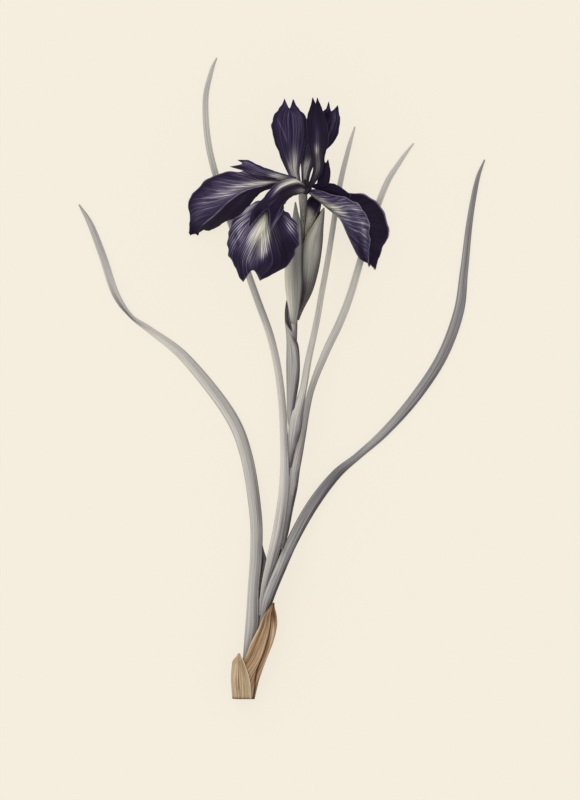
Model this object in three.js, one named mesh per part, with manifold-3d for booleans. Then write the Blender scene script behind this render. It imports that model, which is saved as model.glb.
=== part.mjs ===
// A cut flowering stem of the English iris, lying on its back: millimetres, +Z up.
// The flower end points to +Y, the cut end to -Y, and the floor is at z = 0.
import * as THREE from 'three';
import Module from 'manifold-3d';
import { mergeVertices } from 'three/addons/utils/BufferGeometryUtils.js';

const wasm = await Module();
wasm.setup();

// Driving dimensions
const LEAF_THICKNESS = 0.9;
const PETAL_THICKNESS = 0.8;
const SHEATH_THICKNESS = 0.8;
const CAD_STEPS = { leaf: 30, petal: 16, wrap: 14 };

const flower = new THREE.Group();

// Surfaces and solids

const vector = (p) => new THREE.Vector3(p[0], p[1], p[2]);
const rail = (points) => new THREE.CatmullRomCurve3(points.map(vector), false, 'catmullrom', 0.5);

// A closed solid through rings that all have the same even number of points.
function loft(rings) {
  const size = rings[0].length;
  const last = (rings.length - 1) * size;
  const faces = [];
  for (let row = 0; row < rings.length - 1; row += 1) {
    for (let i = 0; i < size; i += 1) {
      const a = row * size + i;
      const b = row * size + (i + 1) % size;
      faces.push(a, b, b + size, a, b + size, a + size);
    }
  }
  for (let i = 0; i < size / 2 - 1; i += 1) {
    const a = i;
    const b = i + 1;
    const c = size - 2 - i;
    const d = size - 1 - i;
    faces.push(a, c, b, a, d, c);
    faces.push(last + a, last + b, last + c, last + a, last + c, last + d);
  }
  const corners = rings.flat();
  if (signedVolume(corners, faces) < 0) faces.reverse();
  const geometry = new THREE.BufferGeometry();
  const numbers = corners.flatMap((p) => [p.x, p.y, p.z]);
  geometry.setAttribute('position', new THREE.Float32BufferAttribute(numbers, 3));
  geometry.setIndex(faces);
  return geometry;
}

function signedVolume(corners, faces) {
  let six = 0;
  for (let i = 0; i < faces.length; i += 3) {
    const [a, b, c] = [corners[faces[i]], corners[faces[i + 1]], corners[faces[i + 2]]];
    six += a.dot(b.clone().cross(c));
  }
  return six / 6;
}

// A sheet of even thickness whose middle surface is surface(u, v), u and v from 0 to 1.
function sheet(surface, along, across, thickness) {
  const rings = [];
  const reach = 0.004;
  for (let i = 0; i <= along; i += 1) {
    const upper = [];
    const lower = [];
    for (let j = 0; j <= across; j += 1) {
      const [u, v] = [i / along, j / across];
      const [u0, u1] = [Math.max(0, u - reach), Math.min(1, u + reach)];
      const [v0, v1] = [Math.max(0, v - reach), Math.min(1, v + reach)];
      const alongU = surface(u1, v).sub(surface(u0, v));
      const alongV = surface(u, v1).sub(surface(u, v0));
      const normal = alongU.cross(alongV).normalize().multiplyScalar(thickness / 2);
      const middle = surface(u, v);
      upper.push(middle.clone().add(normal));
      lower.push(middle.clone().sub(normal));
    }
    rings.push([...upper, ...lower.reverse()]);
  }
  return loft(rings);
}

// Rows run from the base of a petal to its tip; a row's points run from one margin to the other.
function web(rows, creased = false) {
  const rails = rows[0].map((_, column) => rail(rows.map((row) => row[column])));
  const middle = (rails.length - 1) / 2;
  return (u, v) => {
    const points = rails.map((curve) => curve.getPoint(u));
    if (!creased) {
      return new THREE.CatmullRomCurve3(points, false, 'catmullrom', 0.5).getPoint(v);
    }
    const half = v < 0.5 ? points.slice(0, middle + 1) : points.slice(middle);
    const curve = new THREE.CatmullRomCurve3(half, false, 'catmullrom', 0.5);
    return curve.getPoint(v < 0.5 ? v * 2 : v * 2 - 1);
  };
}

// Stations of a long blade: x, y, z, width, roll in degrees (right margin up), rise of the midrib.
function blade(stations) {
  const spine = rail(stations.map((s) => s.slice(0, 3)));
  const form = rail(stations.map((s) => s.slice(3, 6)));
  return (u, v) => {
    const [width, roll, bow] = form.getPoint(u).toArray();
    const ahead = spine.getTangent(u);
    const flat = ahead.clone().cross(new THREE.Vector3(0, 0, 1)).normalize();
    const side = flat.applyAxisAngle(ahead, -THREE.MathUtils.degToRad(roll));
    const up = side.clone().cross(ahead);
    const across = v - 0.5;
    const point = spine.getPoint(u);
    point.addScaledVector(side, width * across);
    return point.addScaledVector(up, bow * (1 - 4 * across * across) - bow / 2);
  };
}

// Stations of a clasping sheath: x, y, z of its axis, half-width, half-height,
// and the two margins as angles from straight up, positive to the right.
function clasp(stations) {
  const axis = rail(stations.map((s) => s.slice(0, 3)));
  const radii = rail(stations.map((s) => [s[3], s[4], 0]));
  const margins = rail(stations.map((s) => [s[5], s[6], 0]));
  return (u, v) => {
    const radius = radii.getPoint(u);
    const margin = margins.getPoint(u);
    const angle = THREE.MathUtils.degToRad(THREE.MathUtils.lerp(margin.x, margin.y, v));
    const point = axis.getPoint(u);
    point.x += radius.x * Math.sin(angle);
    point.z += radius.y * Math.cos(angle);
    return point;
  };
}

// A round tapering rod along stations of x, y, z, radius.
function rod(stations, along, sides) {
  const spine = rail(stations.map((s) => s.slice(0, 3)));
  const radius = rail(stations.map((s) => [s[3], 0, 0]));
  const rings = [];
  for (let i = 0; i <= along; i += 1) {
    const u = i / along;
    const ahead = spine.getTangent(u);
    const side = ahead.clone().cross(new THREE.Vector3(0, 0, 1)).normalize();
    const ring = [];
    for (let k = 0; k < sides; k += 1) {
      const spoke = side.clone().applyAxisAngle(ahead, (k + 0.5) * 2 * Math.PI / sides);
      ring.push(spine.getPoint(u).addScaledVector(spoke, radius.getPoint(u).x));
    }
    rings.push(ring);
  }
  return loft(rings);
}

function solid(geometry) {
  const bare = geometry.clone();
  bare.deleteAttribute('normal');
  bare.deleteAttribute('uv');
  const merged = mergeVertices(bare, 1e-5);
  return new wasm.Manifold(new wasm.Mesh({
    numProp: 3,
    vertProperties: merged.attributes.position.array,
    triVerts: new Uint32Array(merged.index.array),
  }));
}

function joined(first, second) {
  const mesh = solid(first).add(solid(second)).getMesh();
  const geometry = new THREE.BufferGeometry();
  const numbers = new Float32Array(mesh.vertProperties);
  geometry.setAttribute('position', new THREE.BufferAttribute(numbers, 3));
  geometry.setIndex(new THREE.BufferAttribute(new Uint32Array(mesh.triVerts), 1));
  return geometry;
}

function add(name, geometry, color, roughness) {
  const material = new THREE.MeshStandardMaterial({ color, roughness, metalness: 0 });
  const mesh = new THREE.Mesh(geometry, material);
  mesh.name = name;
  flower.add(mesh);
}

// Colours
const STEM = 0x9a9a8c;
const LEAF = 0xa9a6a4;
const SPATHE = 0xa8a292;
const TAN = 0xc9ab80;
const BROWN = 0x966c46;
const VIOLET = 0x2c2148;
const PALE_VIOLET = 0x5b4f7c;
const CREAM = 0xe6dfc8;
const YELLOW = 0xd8b64e;

// The stem, with the ovary and the perianth tube that carry the flower
const stemStations = [
  [-22.6, -192, 6.4, 3.0],
  [-19.2, -168.6, 6.6, 3.0],
  [-14.4, -144.6, 7.8, 2.9],
  [-8.4, -123.6, 10.2, 2.8],
  [-3, -102.6, 12.5, 2.7],
  [1.2, -81.6, 15, 2.5],
  [3.6, -60.6, 17.8, 2.3],
  [5.4, -36.6, 21, 2.2],
  [6.6, -12.6, 23.6, 2.1],
  [6.9, 11.4, 26, 1.9],
  [7.8, 40, 28.8, 1.7],
];
add('stem', rod(stemStations, 24, 10), STEM, 0.55);
add('ovary', rod([
  [8, 40.6, 28.9, 1.2],
  [8.8, 47, 29.5, 2.4],
  [10.2, 58, 30.4, 2.6],
  [11.2, 68, 31.2, 1.5],
], 8, 10), SPATHE, 0.5);
add('perianth_tube', rod([
  [11.3, 68.6, 31.2, 1.2],
  [12.2, 88, 32.8, 1.5],
  [12.8, 102, 34.1, 1.7],
  [13, 111, 34.8, 2.0],
], 8, 10), CREAM, 0.5);

// Basal sheaths
add('basal_sheath_large', sheet(clasp([
  [-22.4, -191.6, 6.4, 5.6, 4.8, -145, 150],
  [-20.2, -180, 6.6, 6.4, 5.2, -110, 150],
  [-16.7, -168.6, 8.8, 7.0, 7.2, -58, 145],
  [-12.8, -158, 9.2, 7.2, 7.2, -50, 130],
  [-9.6, -149, 10.4, 6.2, 8.0, -40, 100],
  [-7.8, -141.6, 11.8, 4.5, 8.0, -35, 75],
  [-5.2, -134.6, 12.4, 1.2, 7.0, -15, 25],
]), CAD_STEPS.wrap, 10, SHEATH_THICKNESS), BROWN, 0.7);
add('basal_sheath_small', sheet(clasp([
  [-23.4, -192.2, 7.0, 6.2, 7.0, -155, 48],
  [-24.2, -180.6, 7.8, 6.2, 8.2, -150, 48],
  [-25.0, -171, 7.8, 5.2, 7.6, -100, 30],
  [-25.6, -165, 9.4, 2.0, 6.4, -30, 14],
]), CAD_STEPS.wrap, 10, SHEATH_THICKNESS), TAN, 0.7);

// Leaves
function leaf(name, stations) {
  add(name, sheet(blade(stations), CAD_STEPS.leaf, 4, LEAF_THICKNESS), LEAF, 0.6);
}
leaf('leaf_far_left', [
  [-21.6, -170, 10.6, 5.0, 24, 1.6],
  [-18.4, -150, 12.0, 7.4, 10, 1.8],
  [-17.4, -128, 11.0, 6.6, 12, 1.2],
  [-15.5, -104, 8.4, 7.0, 8, 0.8],
  [-16, -80, 5.6, 7.2, 6, 0.6],
  [-21.5, -46, 3.0, 7.2, 4, 0.5],
  [-32.4, -19.8, 1.6, 7.2, 2, 0.5],
  [-58.2, 12.6, 1.0, 6, 0, 0.4],
  [-79.2, 29.4, 1.2, 3.8, 12, 0.3],
  [-90.6, 37.8, 1.6, 3.0, 35, 0.2],
  [-100.2, 51.6, 1.6, 4.4, 18, 0.2],
  [-108, 74.4, 1.4, 4.2, 0, 0.3],
  [-115.2, 93, 1.4, 3.2, 0, 0.2],
  [-122.1, 105, 1.6, 0.8, 0, 0.1],
]);
leaf('leaf_far_right', [
  [-10.6, -144, 15.2, 4.6, -14, 1.4],
  [-8.2, -132.6, 16.6, 6.5, -18, 1.8],
  [-1.2, -114.6, 17.2, 6.6, -20, 1.4],
  [6.7, -96.6, 11.8, 6.8, -14, 1.2],
  [18.6, -75.3, 6.2, 6.8, -8, 1.0],
  [32.4, -57.6, 3.0, 5.8, -10, 0.6],
  [45.6, -46.2, 1.8, 4.6, -24, 0.2],
  [61.8, -31.8, 1.4, 5.4, -6, -0.3],
  [79.8, -11.4, 1.0, 6.3, 0, -0.4],
  [96, 13.2, 1.0, 6.5, 0, -0.4],
  [106.2, 40.2, 1.0, 6.3, 0, -0.4],
  [109.5, 65.4, 1.1, 4.9, 0, -0.3],
  [112.8, 94.2, 1.2, 3.7, 0, -0.2],
  [117.3, 119.4, 1.4, 2.5, 0, -0.1],
  [121.8, 132, 1.6, 0.8, 0, 0],
]);
leaf('leaf_inner_left', [
  [-12.4, -142, 12.8, 2.4, 6, 0.6],
  [-10.5, -126.6, 14.8, 4.2, 8, 1.0],
  [-6.6, -109.8, 16.6, 6.0, 8, 1.4],
  [-1.8, -89.4, 19.4, 6.6, 8, 1.6],
  [0.9, -66.6, 22.2, 5.8, 14, 1.4],
  [1.2, -42.6, 22.6, 5.0, 30, 1.0],
  [0.3, -18.6, 18.4, 4.4, 18, 0.7],
  [-2.4, 5.4, 13.6, 4.1, 8, 0.5],
  [-7.2, 26.4, 9.0, 4, 4, 0.5],
  [-14.7, 47.4, 4.6, 3.8, 0, 0.4],
  [-25.2, 77.4, 1.4, 3.6, 0, 0.3],
  [-36, 110, 1.0, 3.6, 0, 0.3],
  [-44.1, 140.4, 1.0, 3.4, 0, 0.3],
  [-46, 167.4, 1.2, 3, 0, 0.2],
  [-42.6, 184.8, 1.4, 2.1, 0, 0.1],
  [-39.3, 193.2, 1.6, 0.8, 0, 0],
]);
leaf('leaf_inner_right_low', [
  [0.2, -101.5, 15.8, 1.8, -50, 0.3],
  [2.6, -92.4, 16.2, 4.0, -50, 0.6],
  [5.2, -76, 17.6, 6.0, -44, 1.0],
  [7.5, -63.6, 19.0, 6.2, -38, 1.2],
  [9.6, -50, 20.0, 5.2, -34, 1.0],
  [12.9, -33.6, 18.6, 3.4, -24, 0.6],
  [17.4, -7, 14.6, 3.5, -12, 0.5],
  [25.8, 15, 10.4, 4.3, -6, 0.4],
  [34.8, 34.2, 6.6, 4.4, -2, 0.4],
  [42, 53.4, 3.2, 4.1, 0, 0.4],
  [51.6, 86.4, 1.2, 3.5, 0, 0.3],
  [62.1, 115.8, 1.0, 3.2, 0, 0.3],
  [71.4, 131.4, 1.2, 2.3, 0, 0.2],
  [79.2, 141.9, 1.4, 0.8, 0, 0],
]);
leaf('leaf_inner_right_high', [
  [4.8, -53, 22.2, 1.6, -40, 0.2],
  [6.6, -42, 24.4, 3.6, -40, 0.6],
  [8.6, -30, 25.4, 6.4, -34, 1.2],
  [10.8, -17.4, 25.4, 5.6, -34, 1.0],
  [12.9, -6, 23.6, 4.2, -30, 0.7],
  [15.6, 10.2, 20.0, 3.9, -20, 0.5],
  [20.4, 32.4, 14.0, 3.3, -8, 0.4],
  [24, 52.2, 9.0, 3.1, -4, 0.3],
  [28.5, 77.4, 3.6, 2.9, 0, 0.3],
  [34.5, 115.2, 1.0, 2.8, 0, 0.3],
  [40.2, 139.2, 1.2, 2.1, 0, 0.2],
  [43.8, 151.8, 1.4, 0.8, 0, 0],
]);

// The sheathing leaf on the upper stem and the two spathe valves
add('upper_stem_sheath', sheet(clasp([
  [5.8, -29, 22.0, 2.9, 3.2, -34, 6],
  [6.2, -20, 23.0, 3.1, 3.2, -80, 15],
  [6.6, -8, 24.2, 3.6, 3.2, -95, 45],
  [6.6, 8, 25.8, 3.9, 3.1, -100, 90],
  [6.5, 22, 27.2, 3.4, 3.1, -100, 45],
  [5.4, 34, 28.4, 2.6, 2.8, -90, 10],
  [4.0, 42, 29.4, 1.8, 2.4, -70, -20],
  [3.0, 47, 30.0, 0.8, 2.0, -50, -10],
]), CAD_STEPS.wrap, 8, SHEATH_THICKNESS), LEAF, 0.6);
add('spathe_valve_left', sheet(web([
  [[8.2, 36, 31.6], [6.9, 36, 30.9], [5.2, 36, 28.5], [6.6, 36, 26.0], [7.8, 36, 25.6]],
  [[10.2, 42, 34.0], [6.8, 42, 33.6], [4.3, 42, 29.6], [6.2, 42, 25.6], [9.4, 42, 24.6]],
  [[12.2, 53, 37.2], [6.6, 53, 36.6], [2.4, 53, 30.6], [5.6, 53, 25.2], [11.6, 53, 24.2]],
  [[12.4, 66, 38.6], [6.4, 66, 38.0], [2.0, 66, 31.6], [5.6, 66, 26.2], [12.4, 66, 24.8]],
  [[12.4, 80, 38.8], [7.6, 80, 38.2], [3.8, 80, 33.0], [6.8, 80, 28.0], [12.4, 80, 26.8]],
  [[10.6, 92, 38.8], [8.2, 92, 38.8], [5.9, 92, 35.0], [7.0, 92, 31.6], [9.6, 92, 30.0]],
  [[8.9, 104, 38.6], [8.3, 104, 38.8], [7.5, 104, 37.4], [7.9, 104, 35.8], [8.5, 104, 35.4]],
]), CAD_STEPS.wrap, 10, SHEATH_THICKNESS), SPATHE, 0.55);
add('spathe_valve_right', sheet(web([
  [[9.5, 37, 31.6], [10.6, 37, 30.9], [11.4, 37, 28.7], [10.6, 37, 26.4], [9.2, 37, 25.4]],
  [[11.4, 42, 33.8], [13.0, 42, 32.8], [13.8, 42, 29.6], [12.8, 42, 26.0], [10.6, 42, 24.6]],
  [[13.4, 53, 37.0], [16.2, 53, 35.4], [17.4, 53, 30.6], [16.0, 53, 25.6], [12.8, 53, 24.2]],
  [[13.6, 66, 38.6], [18.6, 66, 36.8], [20.5, 66, 31.6], [18.8, 66, 26.4], [13.6, 66, 24.8]],
  [[13.6, 80, 38.8], [20.0, 80, 37.4], [23.0, 80, 33.0], [20.6, 80, 28.2], [13.6, 80, 26.8]],
  [[18.4, 92, 39.4], [22.4, 92, 38.6], [24.4, 92, 34.8], [22.4, 92, 30.8], [17.0, 92, 29.4]],
  [[24.3, 101.6, 38.2], [24.8, 102, 38.0], [25.2, 102, 36.6], [24.9, 102, 35.2], [24.4, 101.6, 34.8]],
]), CAD_STEPS.wrap, 10, SHEATH_THICKNESS), SPATHE, 0.55);

// The second bud, rolled up inside the right valve
add('second_bud_tube', rod([
  [14.6, 70, 31.6, 1.0],
  [16.0, 80, 33, 1.6],
  [17.3, 90, 33.8, 1.8],
], 6, 10), CREAM, 0.5);
add('second_bud', rod([
  [17.4, 90.6, 33.8, 1.7],
  [18.2, 95, 34.4, 2.3],
  [19.4, 101, 33.6, 3.0],
  [20.4, 106.4, 31.2, 2.2],
  [21.0, 110.4, 30.0, 0.4],
], 10, 10), VIOLET, 0.6);

// The open flower
function petal(name, rows, color, creased = false, across = 8) {
  add(name, sheet(web(rows, creased), CAD_STEPS.petal, across, PETAL_THICKNESS), color, 0.6);
}
petal('fall_left', [
  [[8.6, 117.4, 35.6], [8.4, 115.6, 36.6], [8.6, 113.8, 35.4]],
  [[-2, 120.2, 35], [-2, 117.4, 37.4], [-2, 115.0, 34.6]],
  [[-12, 123, 33], [-11, 115.6, 36.6], [-12.4, 112, 32]],
  [[-24, 125, 26], [-22, 112.6, 33], [-20.6, 102.8, 22]],
  [[-37, 123.2, 16], [-31.6, 106.2, 26], [-30.6, 95.4, 11]],
  [[-48, 118, 8], [-39.6, 98.6, 18], [-41, 91, 4]],
  [[-55.2, 107.4, 3], [-47.4, 92.2, 11], [-47.6, 88.8, 1.4]],
  [[-55.9, 93, 2.4], [-51.6, 88.6, 5.4], [-51.0, 87.6, 1.6]],
  [[-55.2, 86.4, 2.2], [-53.6, 87.2, 2.6], [-53.0, 87.0, 1.8]],
], VIOLET, true);
petal('fall_front', [
  [[9.4, 115.8, 36.8], [10.6, 114.2, 38.0], [12.0, 112.8, 37.0]],
  [[1, 114, 50], [3, 111.4, 51.2], [5.2, 108.8, 50]],
  [[-8, 108, 60.4], [-5, 105.4, 62.4], [-1, 103, 60.4]],
  [[-20.4, 103, 62.6], [-9.4, 99, 67.4], [3.6, 99.6, 62.8]],
  [[-30.4, 92, 62], [-11.6, 90, 69.6], [9.6, 90, 62]],
  [[-32.6, 80.4, 60], [-14, 79.6, 69.2], [9.4, 80, 60]],
  [[-29.8, 69.6, 57.6], [-16, 71, 66.4], [4.4, 69.6, 58]],
  [[-23.1, 58.2, 55.4], [-17.4, 65.1, 61.6], [-12.9, 58.2, 56]],
], VIOLET, false, 10);
petal('fall_right', [
  [[15.8, 113.8, 37.4], [14.6, 112.4, 36.2], [15.6, 113.2, 34.2]],
  [[22, 113.2, 40], [20.4, 108, 36.4], [23, 113.4, 33.4]],
  [[32, 110, 38.4], [28, 101.6, 33], [33.4, 111.4, 27]],
  [[44, 106.2, 33.6], [34.8, 95.8, 27.4], [46, 111.6, 18]],
  [[51.2, 97, 27], [38.6, 88, 21.6], [58.6, 105, 9]],
  [[52.8, 84.8, 19.4], [42.6, 79.6, 15.8], [64, 91, 3]],
  [[52.2, 75.6, 13], [46.6, 72.6, 10.6], [60.4, 77.4, 1.6]],
  [[52.4, 67.2, 7.6], [53.4, 68.8, 6], [55.2, 65.8, 2.4]],
], VIOLET, true);
petal('standard_left', [
  [[9.0, 119.4, 37.6], [10.4, 119, 38.4], [11.8, 119, 37.6]],
  [[3, 125.6, 39], [6.8, 125.6, 41], [10.4, 126.4, 39.4]],
  [[-2.6, 137, 40], [5, 137, 43.4], [13, 138, 40]],
  [[-6.1, 149.6, 40], [4.6, 149.6, 44.2], [15.7, 148.4, 40]],
  [[-5.2, 157.4, 39], [4.4, 157, 43], [14, 157, 39.4]],
  [[1.4, 168.2, 38], [4.5, 162.2, 40.4], [6.6, 167.6, 38]],
], VIOLET);
petal('standard_right', [
  [[16.6, 118, 43], [17.6, 117.4, 43.6], [18.8, 117.6, 43]],
  [[18.4, 125.4, 43.6], [20.4, 124.8, 45.2], [22.4, 123.6, 43.6]],
  [[17.4, 134, 44], [21, 134, 47.6], [25.8, 133.6, 43.6]],
  [[15.2, 144, 44], [21.2, 144, 49.0], [27.6, 144, 43]],
  [[15, 156, 43], [21, 155.4, 47.4], [26.4, 155, 42.4]],
  [[18.5, 168.8, 42], [20, 165, 43.6], [21.3, 168.8, 42]],
], VIOLET, true);
petal('standard_back', [
  [[11.6, 117.6, 31.6], [13.4, 117.4, 31], [15.2, 117.6, 31.6]],
  [[11.6, 124.4, 30.4], [14.4, 124.4, 29.2], [17.4, 124.4, 30.4]],
  [[11.4, 133, 29.6], [16.6, 133, 26.8], [22, 132.4, 29.6]],
  [[12.4, 144, 29.6], [21.4, 144, 25.4], [32, 143.6, 29.6]],
  [[17, 156, 29.6], [26, 155.4, 25.4], [35, 154.4, 29.6]],
  [[28.2, 166.4, 29.6], [29.8, 160.8, 27.4], [33.8, 164.4, 29.6]],
], VIOLET);
petal('style_arm_left', [
  [[8.6, 121.0, 40.6], [8.4, 119.6, 41.2], [8.4, 118.0, 40.6]],
  [[-4.2, 124.4, 41.6], [-4.2, 122.4, 43], [-4.2, 120.4, 41.6]],
  [[-14, 128.2, 40.4], [-13.6, 125.2, 42.8], [-13.2, 122.2, 41]],
  [[-20.4, 131, 37.6], [-20, 127.8, 40.6], [-22, 124.4, 38]],
  [[-26.6, 131.4, 36], [-24, 129, 38], [-31.2, 127.4, 34]],
], PALE_VIOLET, false, 6);
petal('style_arm_front', [
  [[7.2, 119.6, 43.6], [9.8, 116.2, 45.6], [12.2, 112.2, 43]],
  [[-3, 117.2, 58], [1, 112.6, 61.4], [5.4, 108.6, 57.4]],
  [[-10.6, 108.8, 67.6], [-5.4, 106.6, 71], [1.6, 104.4, 67.4]],
  [[-18.2, 100.2, 70.6], [-8.6, 104, 74], [0.2, 99.6, 70.4]],
  [[-20.1, 89.7, 71], [-8.6, 101.6, 74], [-7.2, 87.6, 71.6]],
], PALE_VIOLET, false, 8);
// The right arm lies in the trough of its fall, and its crest stands up from it.
add('style_arm_right', joined(
  sheet(web([
    [[15.4, 116.4, 38.4], [16.4, 115.6, 38.4], [17.2, 115, 38.2]],
    [[22, 117.2, 37], [22.6, 114.9, 37.2], [23.2, 112.8, 36.6]],
    [[32, 116.8, 36], [32, 113, 36.2], [32, 109.4, 34.8]],
    [[41.4, 110.4, 33.2], [40.6, 108.8, 33], [39.6, 107.4, 32]],
  ]), 12, 6, PETAL_THICKNESS),
  sheet(web([
    [[20.6, 115.6, 37.6], [24.2, 115.2, 38], [27.8, 115.6, 37.2]],
    [[21.8, 121, 39.4], [25.4, 121, 41], [28.8, 120.6, 39.4]],
    [[24, 127, 40.4], [26.4, 126.6, 41.8], [28.8, 125.6, 40.2]],
    [[25.2, 131.2, 40.8], [26.2, 129.6, 41.6], [27.6, 131.7, 40.8]],
  ]), 10, 6, PETAL_THICKNESS),
), PALE_VIOLET, 0.6);
add('style_column', rod([
  [13.6, 114.2, 36.6, 0.9],
  [13.3, 115.2, 38.2, 1.1],
  [12.9, 116.2, 40.2, 0.9],
], 4, 8), CREAM, 0.5);

// Stamens under the style arms
function stamen(side, path, tip) {
  add(`filament_${side}`, rod(path.map((p) => [...p, 0.6]), 6, 6), CREAM, 0.5);
  add(`anther_${side}`, rod(tip, 6, 6), YELLOW, 0.8);
}
stamen('front', [[9.4, 115.6, 40.8], [6, 114.4, 48.6], [2.6, 112, 55]],
  [[1.8, 111.4, 56, 0.4], [-1.4, 108.8, 62, 0.9], [-4.6, 105.8, 66.2, 0.4]]);
stamen('left', [[7.6, 117.8, 38.8], [2, 119.2, 39.6], [-3.4, 120.4, 39.8]],
  [[-4.4, 120.8, 39.8, 0.4], [-9, 122.2, 39.4, 0.9], [-13, 123.4, 38.6, 0.4]]);
stamen('right', [[18.2, 113.2, 36.2], [21, 113.4, 35.6], [24, 113, 34.8]],
  [[24.8, 112.8, 34.6, 0.4], [29, 111, 33, 0.8], [33, 109.4, 31.2, 0.4]]);

// Centre the box on x = y = 0 and stand it on z = 0.
flower.updateMatrixWorld(true);
const box = new THREE.Box3().setFromObject(flower, true);
flower.position.set(-(box.min.x + box.max.x) / 2, -(box.min.y + box.max.y) / 2, -box.min.z);

export default flower;
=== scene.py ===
import math

import bpy
import numpy as np
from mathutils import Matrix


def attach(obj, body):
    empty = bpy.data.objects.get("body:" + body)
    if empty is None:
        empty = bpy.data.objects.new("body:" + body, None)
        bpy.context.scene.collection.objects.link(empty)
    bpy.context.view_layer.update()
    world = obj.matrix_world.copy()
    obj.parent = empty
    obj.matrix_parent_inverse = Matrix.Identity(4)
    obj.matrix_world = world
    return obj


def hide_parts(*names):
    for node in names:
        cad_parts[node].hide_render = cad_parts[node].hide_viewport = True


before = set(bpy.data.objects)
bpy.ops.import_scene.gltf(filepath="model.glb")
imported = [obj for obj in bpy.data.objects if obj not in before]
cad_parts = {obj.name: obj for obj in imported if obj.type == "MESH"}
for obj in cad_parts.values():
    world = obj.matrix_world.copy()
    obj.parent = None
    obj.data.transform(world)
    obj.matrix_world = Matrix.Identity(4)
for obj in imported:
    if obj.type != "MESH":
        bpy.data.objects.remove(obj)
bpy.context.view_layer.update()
print("frame loaded:", len(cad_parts), "nodes")

mm = 0.001
toFrame = np.array((0.2235, -0.4703, -0.193))  # from the plant's own millimetres to the frame's


# smooth curves and surfaces, all in millimetres

def along(points, t):  # a smooth curve through rows of points, for every t from 0 to 1
    points = np.asarray(points, float)
    padded = np.concatenate([[2 * points[0] - points[1]], points, [2 * points[-1] - points[-2]]])
    spans = len(points) - 1
    place = np.clip(np.asarray(t, float), 0, 1) * spans
    first = np.minimum(place.astype(int), spans - 1)
    f = (place - first).reshape((-1,) + (1,) * (points.ndim - 1))
    a, b, c, d = (padded[first + k] for k in range(4))
    slopeIn, slopeOut = (c - a) / 2, (d - b) / 2
    return (b + slopeIn * f + (3 * (c - b) - 2 * slopeIn - slopeOut) * f ** 2
            + (2 * (b - c) + slopeIn + slopeOut) * f ** 3)


def unit(vectors):
    length = np.linalg.norm(vectors, axis=-1, keepdims=True)
    return vectors / np.maximum(length, 1e-9)


def rise(x, low, high):  # 0 below low, 1 above high, smooth between
    t = np.clip((x - low) / (high - low), 0, 1)
    return t * t * (3 - 2 * t)


def bump(x, centre, width):
    return np.exp(-((x - centre) / width) ** 2)


def webSurface(rows, u, v, fold):  # rows from base to tip, points from margin to margin
    rails = along(rows, u)
    crossed = np.swapaxes(rails, 0, 1)
    smooth = np.swapaxes(along(crossed, v), 0, 1)
    if fold == 0:
        return smooth
    middle = crossed.shape[0] // 2
    left = along(crossed[: middle + 1], v[v < 0.5] * 2)
    right = along(crossed[middle:], v[v >= 0.5] * 2 - 1)
    creased = np.swapaxes(np.concatenate([left, right]), 0, 1)
    return smooth * (1 - fold) + creased * fold


def bladeSurface(stations, u, v):  # x, y, z, width, roll in degrees, rise of the midrib
    values = along(stations, u)
    spine = values[:, :3]
    ahead = unit(np.gradient(spine, axis=0))
    flat = unit(np.cross(ahead, (0, 0, 1)))
    over = np.cross(flat, ahead)
    roll = np.radians(values[:, 4:5])
    side = flat * np.cos(roll) + over * np.sin(roll)
    up = np.cross(side, ahead)
    across = (v - 0.5)[None, :, None]
    width, bow = values[:, 3][:, None, None], values[:, 5][:, None, None]
    lift = bow * (1 - 4 * across ** 2) - bow / 2
    return spine[:, None] + side[:, None] * width * across + up[:, None] * lift


def claspSurface(stations, u, v):  # axis x, y, z, half-width, half-height, left and right margin in degrees
    values = along(stations, u)
    angle = np.radians(values[:, 5:6] * (1 - v) + values[:, 6:7] * v)
    points = np.repeat(values[:, None, :3], len(v), axis=1)
    points[..., 0] += values[:, 3:4] * np.sin(angle)
    points[..., 2] += values[:, 4:5] * np.cos(angle)
    return points


def spots(base, places):  # an even value with soft oval patches: u, v, reach along, reach across, amount
    def field(u, v):
        value = base + 0 * u * v
        for u0, v0, reachU, reachV, amount in places:
            value = value + amount * bump(u, u0, reachU) * bump(v, v0, reachV)
        return value
    return field


def halves(near, far):  # a folded petal's two halves
    def field(u, v):
        side = rise(v, 0.497, 0.512)
        return near(u, v) * (1 - side) + far(u, v) * side
    return field


def line(v0, width, amount, start, end, slope=0.0):  # a painted line along a petal
    def field(u, v):
        inside = rise(u, start, start + 0.08) * (1 - rise(u, end - 0.08, end))
        return amount * bump(v, v0 + slope * (u - start), width) * inside
    return field


def together(*fields):
    return lambda u, v: sum(field(u, v) for field in fields)


def surfaceNormals(points):
    return unit(np.cross(np.gradient(points, axis=0), np.gradient(points, axis=1)))


# modelling

def onlyThis(piece):
    bpy.ops.object.select_all(action="DESELECT")
    piece.select_set(True)
    bpy.context.view_layer.objects.active = piece


def applyModifier(piece, kind, **settings):
    onlyThis(piece)
    modifier = piece.modifiers.new(kind.title(), kind)
    for name, value in settings.items():
        setattr(modifier, name, value)
    bpy.ops.object.modifier_apply(modifier=modifier.name)


def paint(piece, name, values):
    layer = piece.data.attributes.new(name, "FLOAT", "POINT")
    layer.data.foreach_set("value", np.asarray(values, np.float32).ravel())


def vertexPlaces(piece):
    flat = np.zeros(len(piece.data.vertices) * 3)
    piece.data.vertices.foreach_get("co", flat)
    return flat.reshape(-1, 3)


def setChart(piece, chart):  # the piece's own map, one point of it for each vertex
    corners = np.zeros(len(piece.data.loops), int)
    piece.data.loops.foreach_get("vertex_index", corners)
    piece.data.uv_layers.active.data.foreach_set("uv", chart[corners].astype(np.float32).ravel())


def finishPiece(piece, material, nodes):
    piece.data.materials.clear()
    piece.data.materials.append(material)
    onlyThis(piece)
    bpy.ops.object.shade_smooth_by_angle(angle=math.radians(50))
    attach(piece, "root")
    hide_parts(*nodes)


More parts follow.
